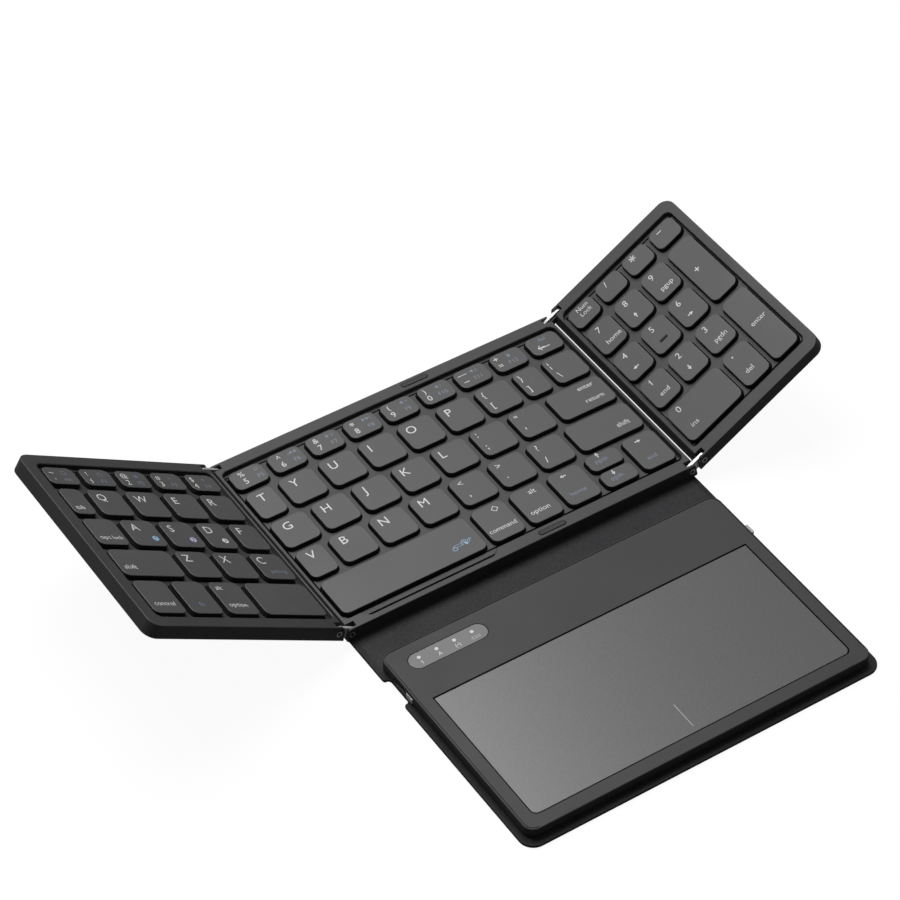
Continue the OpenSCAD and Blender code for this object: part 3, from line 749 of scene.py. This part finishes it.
def row_of_keys(name, node_name, place, boxes, prints):
    """Joins the caps of one row and their legends into one piece, on the body of the same name."""
    caps = [cap_at(box) for box in boxes]
    texts = [legend(*one) if isinstance(one, tuple) else one for one in prints]
    select(*texts + caps)
    as_mesh()
    row = settle(joined(caps + texts, name), place)
    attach(row, node_name)
    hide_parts(node_name)
    domes_under(name.rsplit("_", 1)[0] + "_domes_row",
                place, boxes)


def disc(x, y, radius, colour, lift=0):
    """A printed round spot."""
    select()
    bpy.ops.mesh.primitive_cylinder_add(vertices=32, radius=radius, depth=ink_thick,
                                        location=(x, y, ink_level + lift))
    at_origin()
    bpy.context.object.data.materials.append(colour)
    return bpy.context.object


letter, digit, word, small = 5.7, 4.1, 3.35, 2.9
row_of_keys("number_caps", "number_keys", centre_place, centre_keys[0], [
    ("%", -70.7, 40.5, 3.7), ("5", -70.7, 36.4, digit),
    ("^", -54, 40.2, 4.1), ("6", -54, 36.4, digit),
    ("&", -37.3, 40.5, 3.8), ("7", -37.3, 36.4, digit),
    ("*", -20.5, 39.8, 4.6), ("8", -20.5, 36.4, digit),
    ("(", -3.8, 40.6, 3.7), ("9", -3.8, 36.4, digit),
    (")", 13.1, 40.6, 3.7), ("0", 13.1, 36.4, digit),
    ("—", 30.7, 40.6, 3.9), ("–", 30.4, 36.6, 4.6),
    ("+", 46.9, 40.6, 4.1), ("=", 46.9, 36.5, 4.1),
    ("←", 66.1, 36.6, 4.4), ("—", 67.6, 36.56, 4.6), ("del", 68.8, 40.4, 3, blue),
    ("⌕", -64.4, 40.3, 3.4, blue), ("F5", -64.2, 36.4, small, blue),
    ("|◀◀", -48.1, 40.4, 1.9, blue), ("F6", -47.9, 36.4, small, blue),
    ("▶ ||", -31.1, 40.4, 1.9, blue), ("F7", -31, 36.4, small, blue),
    ("▶▶|", -14.2, 40.4, 1.9, blue), ("F8", -14.1, 36.4, small, blue),
    ("◀ ×", 3, 40.4, 2, blue), ("F9", 3, 36.4, small, blue),
    ("◀ )", 19.2, 40.4, 2, blue), ("F10", 19.3, 36.4, small, blue),
    ("◀ ))", 35.9, 40.4, 2, blue), ("F11", 36.1, 36.4, small, blue),
    ("∩", 52.5, 40.9, 2.2, blue), ("■", 52.5, 39.9, 2, blue), ("F12", 52.6, 36.4, small, blue)])
row_of_keys("y_row_caps", "y_row_keys", centre_place, centre_keys[1], [
    ("T", -70.2, 25.5, letter), ("Y", -55.8, 25.5, letter), ("U", -38.3, 25.5, letter),
    ("I", -21.7, 25.5, letter), ("O", -2.7, 25.5, letter), ("P", 14.6, 25.5, letter),
    ("{", 31.4, 26.2, 4.3), ("[", 31.5, 19.6, 4.3), ("}", 48.9, 26.2, 4.3), ("]", 49, 19.6, 4.3),
    ("¦", 62.6, 26.2, 4.6), ("\\", 63.4, 19.6, 4.6)])
row_of_keys("h_row_caps", "h_row_keys", centre_place, centre_keys[2][:7], [
    ("G", -69.9, 7.4, letter), ("H", -52.7, 7.4, letter), ("J", -35.3, 7.4, letter),
    ("K", -17.3, 7.4, letter), ("L", 0, 7.4, letter),
    (":", 16.9, 9.3, 5), (";", 16.9, 1.8, 5), ("\"", 35.2, 7.9, 4.8), ("'", 35.2, 0.4, 4.8)])
row_of_keys("enter_cap", "enter_key", centre_place, centre_keys[2][7:], [
    ("enter", 67.7, 8.4, word), ("return", 67.5, 1.1, word)])
row_of_keys("n_row_caps", "n_row_keys", centre_place, centre_keys[3][:7], [
    ("V", -70.2, -10.5, letter), ("B", -56.1, -10.5, letter), ("N", -38.2, -10.5, letter),
    ("M", -20.2, -10.5, letter),
    ("<", -3, -9.6, 4.2), (",", -3.1, -15.8, 5), (">", 14.4, -9.6, 4.2), (".", 14.4, -15.4, 5),
    ("?", 32.3, -9.7, 4.4), ("/", 32.2, -16.9, 4.4)])
row_of_keys("right_shift_cap", "right_shift_key", centre_place, centre_keys[3][7:], [
    ("shift", 68.5, -16.8, 3.5)])
row_of_keys("space_cap", "space_key", centre_place, centre_keys[4][:1], [
    ("▭", -21.4, -36.1, 4.2, sky_ink), ("○", -23.4, -37.6, 2.8, sky_ink),
    ("☝", -19.2, -35.5, 4.6, sky_ink, math.radians(-50))])
row_of_keys("centre_modifier_caps", "centre_modifier_keys", centre_place, centre_keys[4][1:3], [
    ("◇", 0.7, -28, 3.4), ("command", -1.9, -37.9, 3.1), ("alt", 17.7, -28.1, word),
    ("option", 15.1, -37.9, word)])
row_of_keys("arrow_caps", "arrow_keys", centre_place, centre_keys[4][3:], [
    arrow(32.3, -27.8, 180), ("home", 32.7, -37.9, 3.2, blue),
    arrow(49.7, -25.6, 90), ("pgup", 49.6, -28.6, 3, blue),
    arrow(49.7, -36.4, -90), ("pgdn", 49.7, -39.4, 3, blue),
    arrow(67.2, -27.8, 0), ("end", 67.3, -37.9, 3.2, blue)])
row_of_keys("left_number_caps", "left_number_keys", left_place, left_keys[0], [
    ("~", -80.2, 39.9, 4), ("`", -80.2, 34.9, 4.4), ("!", -63.6, 40.1, 3.6), ("1", -63.6, 35.7, 3.8),
    ("@", -46.1, 40, 3.5), ("2", -46.1, 35.9, digit), ("#", -29.8, 39.9, 3.8),
    ("3", -29.8, 35.9, digit), ("$", -13.1, 39.9, 3.8), ("4", -13.1, 35.9, digit),
    ("○", -74.5, 39.7, 3, blue), ("esc", -74.5, 35.7, small, blue),
    ("⌂", -57.7, 39.9, 3, blue), ("F1", -57.7, 35.9, small, blue),
    ("☰", -40.3, 39.9, 2.6, blue), ("F2", -40.2, 35.9, small, blue),
    ("−", -24.1, 39.9, 3.2, blue), ("F3", -24, 35.9, small, blue),
    ("+", -7.4, 39.9, 3.2, blue), ("F4", -7.3, 35.9, small, blue)])
row_of_keys("left_qwer_caps", "left_qwer_keys", left_place, left_keys[1], [
    ("tab", -79.4, 18.3, word), ("Q", -65.6, 25.4, 5.5), ("W", -47, 25.4, 5.4),
    ("E", -30.6, 25.4, letter), ("R", -12.8, 25.4, letter)])
row_of_keys("left_asdf_caps", "left_asdf_keys", left_place, left_keys[2], [
    ("caps lock", -76.3, 0.5, small), ("A", -61.4, 7.5, letter), ("S", -44.3, 7.5, letter),
    ("D", -26.3, 7.5, letter), ("F", -10.9, 7.5, letter),
    disc(-55.4, 1.1, 1.4, sky_ink), ("1", -55.4, 1.1, 2.4, dark_ink, 0, 0.02),
    disc(-37.6, 1.1, 1.4, violet_ink), ("2", -37.6, 1.1, 2.4, dark_ink, 0, 0.02),
    disc(-22, 1.1, 1.4, white_ink), ("3", -22, 1.1, 2.4, dark_ink, 0, 0.02)])
row_of_keys("left_zxc_caps", "left_zxc_keys", left_place, left_keys[3], [
    ("shift", -78.4, -17, 3.5), ("Z", -48.2, -10.5, letter), ("X", -30.2, -10.5, letter),
    ("C", -12.6, -10.5, letter), ("pairing", -8.2, -17.2, small, blue)])
row_of_keys("left_space_cap", "left_space_key", left_place, left_keys[4][3:], [])
row_of_keys("left_modifier_caps", "left_modifier_keys", left_place, left_keys[4][:3], [
    ("control", -76.3, -38.1, 3.3), ("fn", -59, -38.1, 3.3, blue), ("alt", -44.9, -28.3, word),
    ("option", -42, -38.1, word)])
row_of_keys("numpad_top_caps", "numpad_top_keys", right_place, right_keys[0], [
    ("Num", 8.4, 40.9, small), ("Lock", 8.5, 38, small), ("/", 21.3, 40.4, 4.1),
    ("*", 36.3, 39.3, 6.6), ("–", 51.3, 40.8, 4.6)])
home_bar = block("home_bar", (20.55, 1.15, panel_top - 0.1), (24.25, 2.1, panel_top + 0.4))
round_over(home_bar, upright, 0.4, 4)
round_over(home_bar, level(panel_top + 0.4), 0.2, 3)
# The home bar is near-black: painted shade of its raised front.
home_bar.data.materials.append(cap_black_painted_shade)
row_of_keys("numpad_digit_caps", "numpad_digit_keys", right_place,
            right_keys[1][:3] + right_keys[2][:3] + right_keys[3][:3] + right_keys[4][2:3], [
    ("7", 6.5, 26.9, 4.2), ("home", 9.1, 19.1, 3.3), ("8", 21.4, 26.9, 4.2), arrow(21.4, 19.3, 90),
    ("9", 36, 26.9, 4.2), ("pgup", 38.5, 19.1, 3.3), ("4", 6.5, 8.8, 4.2), arrow(7, 1.2, 180),
    ("5", 21.4, 8.8, 4.2), ("6", 36, 8.8, 4.2), arrow(36.6, 1.2, 0),
    ("1", 6.4, -9.2, 4.2), ("end", 8.1, -16.8, 3.3), ("2", 21.4, -9.2, 4.2),
    arrow(21.4, -16.6, -90), ("3", 36, -9.2, 4.2), ("pgdn", 38.5, -16.8, 3.3),
    (".", 35.6, -25.9, 6.5), ("del", 37.1, -37.4, 3.3), home_bar])
row_of_keys("plus_cap", "plus_key", right_place, [plus_box], [("+", 51.1, 14.3, 4.6)])
row_of_keys("numpad_enter_cap", "numpad_enter_key", right_place, [pad_enter_box], [
    ("enter", 53.3, -23.5, word)])
row_of_keys("zero_cap", "zero_key", right_place, [zero_box], [
    ("0", 6.6, -27.4, 4.2), ("ins", 7.5, -37.4, 3.3)])
for model in cap_models.values():
    bpy.data.objects.remove(model)


# Closing bumpers: two strips of black rubber pressed into pockets of the centre panel's rims. The
# wings rest on them when they lie closed.

rubber = moulded("rubber", (0.012, 0.012, 0.012), 0.62, 0.0005, 0.00004)
bumpers = []
for y in bumper_rows:
    strip = block("bumper", (bumper_x - 6, y - 1.1, 2.4), (bumper_x + 6, y + 1.1, 3.3))
    round_over(strip, upright, 1.09, 8)
    round_over(strip, level(3.3), 0.35, 3)
    bumpers.append(strip)
strips = settle(joined(bumpers, "bumper_strips"), centre_place, rubber)
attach(strips, "centre_panel")
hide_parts("closing_bumpers")


# Hinge links: at both ends of each seam a blanked and polished steel strip turns on one screw in
# the centre panel and one in the wing. Behind it a rubber sleeve carries the wires across.

link_steel, polished = surface("link_steel", (0.72, 0.72, 0.72), 0.4, Metallic=0.6)
stretched = node(link_steel, "Mapping", {"Vector": own(link_steel), "Scale": (300, 300, 6000)})
brushed = noise(link_steel, stretched.outputs["Vector"], 1, 3)
wire(link_steel, mapped(link_steel, brushed, 0.3, 0.7, 0.34, 0.5), polished.inputs["Roughness"])
bumped(link_steel, polished, 0.06, 0.00001, brushed)


def seam_strips(name, half_width, half_bore, depth_from, thick, ease, side, ends=1):
    """The two strips of one seam, from the centre's pivot to the wing's, laid level at first."""
    made, middle = [], side*pivot_gap/2
    for end in (-1, 1):
        y0, y1 = sorted((end*(bay_end - depth_from), end*(bay_end - depth_from - thick)))
        low, high = sorted((-side*half_width, side*(pivot_gap + half_width)))
        strip = block(name, (low, y0, -half_width), (high, y1, half_width))
        pick(strip, "FACE", lambda c: True)
        for x in (-2.2, 2.2):
            bpy.ops.mesh.select_all(action="SELECT")
            bpy.ops.mesh.bisect(plane_co=(middle + x, 0, 0), plane_no=(1, 0, 0))
        pick(strip, "FACE", lambda c: all(abs(v.x - middle) > 3.2 for v in c)
             and max(v.x for v in c) - min(v.x for v in c) < 0.1)
        bpy.ops.transform.resize(value=(1, ends, 1), center_override=(0, (y0 + y1)/2, 0))
        round_over(strip, lambda c: abs(c[0].y - c[1].y) > 0.3 and abs(c[0].x - c[1].x) < 0.01
                   and abs(c[0].x - middle) > 3.2, half_width - 0.01, 9)
        round_over(strip, lambda c: abs(c[0].y - c[1].y) < 0.01, ease, 2)
        cut(strip, *[bore(x, (y0 + y1)/2, 0, half_bore, 4) for x in (0, side*pivot_gap)])
        made.append(strip)
    return joined(made, name)


for side, seam in ((-1, "left"), (1, "right")):
    link = seam_strips(seam + "_link_plates", 2.2, 0.73, 0.06, 1.3, 0.12, side, 0.5)
    settle(link, ((side*pivot, 0, pivot_height), -side*tilt), link_steel)
    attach(link, seam + "_link_pair")
    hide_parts(seam + "_links")
    sleeve = seam_strips(seam + "_sleeves", 1.4, 0.74, 1.4, 1, 0.3, side)
    settle(sleeve, ((side*pivot, 0, pivot_height), -side*tilt), rubber)
    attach(sleeve, seam + "_link_pair")
    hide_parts(seam + "_wire_sleeves")


# Hinge screws: blackened steel pan heads with a cross recess. Their rims are painted light grey, a
# painted highlight on the heads' edges. It is laid on by the distance from the screw's axis.

black_oxide, oxide, at, turned = grained("black_oxide", (0.4, 0.4, 0.41), 0.35, 2500, (0.26, 0.46),
                                         Metallic=0.5)
at = node(black_oxide, "SeparateXYZ", {"Vector": at})
across = worked(black_oxide, "ABSOLUTE", at.outputs["X"])
from_axes = []
for x, z in ((pivot, pivot_height), (wing_x, wing_z)):
    away = node(black_oxide, "CombineXYZ", {
        "X": worked(black_oxide, "SUBTRACT", across, x/1000),
        "Y": worked(black_oxide, "SUBTRACT", at.outputs["Z"], z/1000)}).outputs["Vector"]
    from_axes.append(node(black_oxide, "VectorMath", {0: away}, operation="LENGTH").outputs["Value"])
# Beyond about 0.9 mm from the axis the heads turn light grey: painted highlight on their rims.
painted_rim_highlight = mapped(black_oxide, worked(black_oxide, "MINIMUM", *from_axes), 0, 0.002, 0, 1)
wire(black_oxide, tones(black_oxide, painted_rim_highlight, [(0.38, (0.05, 0.05, 0.052)), (0.44, (0.8, 0.8, 0.8))]),
     oxide.inputs["Base Color"])
for panel in ("centre", "left", "right"):
    carried(panel + "_hinge_screws", black_oxide)


# Touchpad panel: a two-part moulded case screwed together from below. The upper part frames the
# glass, the lower one is bonded to the leather. The port, the charge light and the switch look out
# of its side walls.

pad_rear, pad_front, pad_side = -66.3, -164.8, 76
pad_low, pad_split, pad_top = 1.2, 3.4, 6.0
pad_corner, pad_wall = 4.5, 1.4
case_screws = [(x, y) for x in (-72.8, 72.8) for y in (-69.3, -115.55, -161.8)] + [(0, -161.9)]


def inside_case(inset, low, high, steps=6):
    """A tool that follows the case's outline at a distance inside it."""
    return rounded_tool((inset - pad_side, pad_front + inset, low),
                        (pad_side - inset, pad_rear - inset, high), pad_corner - inset, steps)


def side_openings(case):
    """Cuts the port, charge light and switch openings through the side walls."""
    port = block("port", (-80, -84.95, 1.47), (-67, -76.05, 4.83))
    round_over(port, lambda c: abs(c[0].x - c[1].x) > 0.5, 1.6, 6)
    cut(case, port, block("light", (-80, -89.65, 1.95), (-73, -85.55, 4.35)),
        block("switch", (75.4, -91, 2.5), (80, -79, 5.5)))
    cut(case, block("slot", (73.6, -88.9, 3.35), (77, -84.4, 4.25)))


case_plastic = moulded("case_plastic", (0.042, 0.042, 0.044), 0.48, 0.00028, 0.00004,
                       Specular_IOR_Level=0.28)
bottom = block("bottom_case", (-pad_side, pad_front, pad_low), (pad_side, pad_rear, pad_split))
round_over(bottom, upright, pad_corner, 9)
round_over(bottom, level(pad_low), 0.3, 2)
round_over(bottom, level(pad_split), 0.08, 1)
cut(bottom, inside_case(pad_wall, 2, 5))
side_openings(bottom)
settle(bottom, finish=case_plastic)
posts = []
for x, y in case_screws:
    post = bore(x, y, 2.6, 2, 1.56, False)
    round_over(post, level(3.38), 0.1, 2)
    cut(post, bore(x, y, 2.6, screw_hole, 4, False))
    posts.append(settle(post, finish=case_plastic))
for x in (-60, -20, 20, 60):
    for y in (-74.3, -90.3):
        post = bore(x, y, 2.18, 1.5, 0.4, False)
        round_over(post, level(2.38), 0.05, 1)
        posts.append(settle(post, finish=case_plastic))
joined([bottom] + posts)
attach(bottom, "touchpad_cover")
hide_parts("pad_bottom_case")

upper = block("top_frame", (-pad_side, pad_front, pad_split), (pad_side, pad_rear, pad_top))
round_over(upper, upright, pad_corner, 9)
round_over(upper, level(pad_top), 0.5, 4)
round_over(upper, level(pad_split), 0.08, 1)
cut(upper, inside_case(pad_wall, 2, 5.1))
glass_opening = block("glass_opening", (-70.3, -159.2, 4), (70.3, -93.9, 8))
round_over(glass_opening, lambda c: upright(c) and c[0].y < -150, 2.8, 6)
window_opening = block("window_opening", (-68.75, -80.05, 4), (-34.75, -71.95, 8))
round_over(window_opening, upright, 4.04, 10)
cut(upper, glass_opening, window_opening)
groove = inside_case(0.6, 5.6, 7, 9)
cut(groove, inside_case(0.95, 5, 8, 9))
cut(groove, block("front", (-71.2, -170, 5), (90, -160, 8)))
cut(upper, groove)
side_openings(upper)
settle(upper, finish=case_plastic)
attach(upper, "touchpad_cover")
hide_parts("pad_top_frame")


# Touch surface: one pane of etched, back-painted glass that tips about its rear edge. A fine
# printed line parts its front edge into the two click zones.

etched_glass, pane = surface("etched_glass", (0.087, 0.087, 0.089), 0.27, Coat_Weight=0.25,
                             Coat_Roughness=0.25)
etch = noise(etched_glass, own(etched_glass), 4200, 3)
wire(etched_glass, tones(etched_glass, etch, [(0.2, (0.08, 0.08, 0.082)), (0.8, (0.092, 0.092, 0.094))]),
     pane.inputs["Base Color"])
wire(etched_glass, mapped(etched_glass, etch, 0.2, 0.8, 0.25, 0.3), pane.inputs["Roughness"])
bumped(etched_glass, pane, 0.12, 0.00001, etch)
glass = block("touch_pane", (-69.85, -158.75, 5.05), (69.85, -94.5, 5.9))
round_over(glass, lambda c: upright(c) and c[0].y < -150, 2.5, 8)
round_over(glass, level(5.9), 0.18, 3)
glass.data.materials.append(etched_glass)
line = block("click_line", (0.55, -156.2, 5.895), (0.85, -144.2, 5.915))
round_over(line, upright, 0.1, 2)
line.data.materials.append(ink("line_ink", (0.55, 0.55, 0.55)))
settle(joined([glass, line]))
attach(glass, "touch_surface")
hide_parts("touch_glass")


# Indicator window: a satin grey lens with four lamps shining through, each with a small mark under
# it, and the lamps on the board below it.

window_satin = moulded("window_satin", (0.175, 0.175, 0.175), 0.4, 0.0003, 0.00002)
window = block("lamp_window", (-68.5, -79.82, 5.1), (-35, -72.18, 6.0))
round_over(window, upright, 3.81, 10)
round_over(window, level(6.0), 0.15, 2)
window.data.materials.append(window_satin)
marks = []
for x, mark, size in ((-63.8, "1", 2.8), (-56.1, "A", 2.6), (-48.4, "(•)", 2.5), (-40.7, "▭", 3.4)):
    marks.append(legend(mark, x, -77.4, size, white_ink, 0, 3))
    marks.append(disc(x, -74.8, 0.75, white_ink, 3))
select(*marks)
as_mesh()
settle(joined([window] + marks))
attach(window, "touchpad_cover")
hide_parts("indicator_window")
lamp_plastic = moulded("lamp_plastic", (0.6, 0.6, 0.56), 0.3, 0.0004, 0.00001,
                       Subsurface_Weight=0.3)
carried("indicator_leds", lamp_plastic)


# Side fittings of the touchpad panel: the stamped steel port shell, the charge light's clear
# insert, and the sliding power switch with its ribbed thumb pad.

port_steel = grained("port_steel", (0.45, 0.45, 0.46), 0.28, 1800, (0.22, 0.36), Metallic=1.0)[0]
carried("usb_port", port_steel)
carried("click_switch", port_steel)
insert = block("charge_insert", (-76.3, -89.6, 2), (-73.6, -85.6, 4.3))
round_over(insert, lambda c: all(v.x < -76 for v in c), 0.2, 2)
settle(insert, finish=moulded("insert_plastic", (0.85, 0.85, 0.85), 0.3, 0.0004, 0.00001))
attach(insert, "touchpad_cover")
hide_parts("charge_light")
switch_grey = moulded("switch_grey", (0.5, 0.5, 0.5), 0.42, 0.0003, 0.00003)
slider = block("switch_slider", (75.7, -89.9, 2.8), (77.6, -85.4, 4.9))
round_over(slider, upright, 0.4, 4)
cut(slider, *[block("rib_gap", (77.25, y - 0.2, 2), (78, y + 0.2, 6))
              for y in (-89, -88.3, -87.65, -87, -86.3)])
stem = block("switch_stem", (70.5, -88.65, 3.45), (75.8, -86.65, 4.15))
round_over(stem, lambda c: all(v.x < 71 for v in c), 0.15, 2)
settle(joined([slider, stem]), finish=switch_grey)
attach(slider, "power_slider")
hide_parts("power_switch")


# Inside the touchpad panel: the main board and the touch board in green solder mask with copper
# tracks, and the flat cell in its foil pouch.

mask_green = (0.02, 0.11, 0.055)
solder_mask, mask = surface("solder_mask", mask_green, 0.32)
at = own(solder_mask)
tracks = node(solder_mask, "TexBrick", {"Vector": at, "Scale": 260, "Color1": (0.03, 0.16, 0.08, 1),
                                        "Color2": (0.022, 0.12, 0.06, 1),
                                        "Mortar": (*mask_green, 1), "Mortar Size": 0.03})
wire(solder_mask, tracks.outputs["Color"], mask.inputs["Base Color"])
bumped(solder_mask, mask, 0.3, 0.00002, tracks.outputs["Fac"])
carried("main_board", solder_mask)
carried("touch_board", solder_mask)
cell_foil, foil, at, crumple = grained("cell_foil", (0.5, 0.5, 0.52), 0.35, 260, (0.28, 0.44), 4,
                                       Metallic=0.9)
bumped(cell_foil, foil, 0.4, 0.0001, crumple)
carried("battery", cell_foil)


# Studio: a plain white floor with the object's faint shadow, dark walls under a pale ceiling, one
# broad soft light above and behind, and the camera at the photograph's height and angle.

floor_white, paint = surface("floor_white", (0.9, 0.9, 0.9), 0.9, Specular_IOR_Level=0.0)
dust = noise(floor_white, own(floor_white), 40, 2)
wire(floor_white, tones(floor_white, dust, [(0.3, (0.985, 0.985, 0.99)), (0.7, (1, 1, 1))]),
     paint.inputs["Base Color"])
white = node(floor_white, "Emission", {"Color": (1, 1, 1, 1), "Strength": 1.03})
shaded = node(floor_white, "MixShader", {0: 0.92, 1: paint.outputs["BSDF"],
                                         2: white.outputs["Emission"]})
seen = node(floor_white, "LightPath", {})
direct = worked(floor_white, "MAXIMUM", seen.outputs["Is Camera Ray"],
                seen.outputs["Is Transmission Ray"])
mirrored = worked(floor_white, "MULTIPLY_ADD", seen.outputs["Is Glossy Ray"], 0.15, direct)
dim = node(floor_white, "BsdfDiffuse", {"Color": (0.05, 0.05, 0.052, 1)})
either = node(floor_white, "MixShader", {0: mirrored, 1: dim.outputs["BSDF"],
                                         2: shaded.outputs["Shader"]})
wire(floor_white, either.outputs["Shader"],
     floor_white.node_tree.nodes["Material Output"].inputs["Surface"])
select()
bpy.ops.mesh.primitive_plane_add(size=12, location=(0, 0, -0.0002))
floor = bpy.context.object
floor.name = "floor"
floor.data.materials.append(floor_white)

world = bpy.data.worlds.new("studio")
bpy.context.scene.world = world
world.use_nodes = True
sky = world.node_tree.nodes["Background"]
sky.inputs["Color"].default_value = (1, 1, 1, 1)
path = node(world, "LightPath", {})
height = node(world, "SeparateXYZ", {0: node(world, "TexCoord", {}).outputs["Generated"]})
ceiling = mapped(world, height.outputs["Z"], 0.25, 0.9, 0.04, 1)
mirrored = worked(world, "MULTIPLY", path.outputs["Is Glossy Ray"], ceiling)
direct = worked(world, "MAXIMUM", path.outputs["Is Camera Ray"], path.outputs["Is Transmission Ray"])
least = worked(world, "MAXIMUM", worked(world, "MAXIMUM", mirrored, direct), 0.05)
wire(world, least, sky.inputs["Strength"])

lamp = bpy.data.lights.new("overhead", "AREA")
lamp.shape = "RECTANGLE"
lamp.size, lamp.size_y, lamp.energy = 1.1, 0.8, 19
holder = bpy.data.objects.new("overhead", lamp)
holder.location = (-0.02, 0.6, 1.35)
aim = Vector((0, -0.05, 0)) - Vector(holder.location)
holder.rotation_euler = aim.to_track_quat("-Z", "Y").to_euler()
bpy.context.scene.collection.objects.link(holder)

lens = bpy.data.cameras.new("camera")
lens.lens, lens.sensor_width = 135.84, 36
camera = bpy.data.objects.new("camera", lens)
camera.location = (-0.5066, -0.7730, 0.9313)
camera.rotation_euler = (math.radians(90 - 44.728), 0, math.radians(-33.173))
bpy.context.scene.collection.objects.link(camera)
bpy.context.scene.camera = camera
bpy.context.scene.view_settings.view_transform = "Standard"
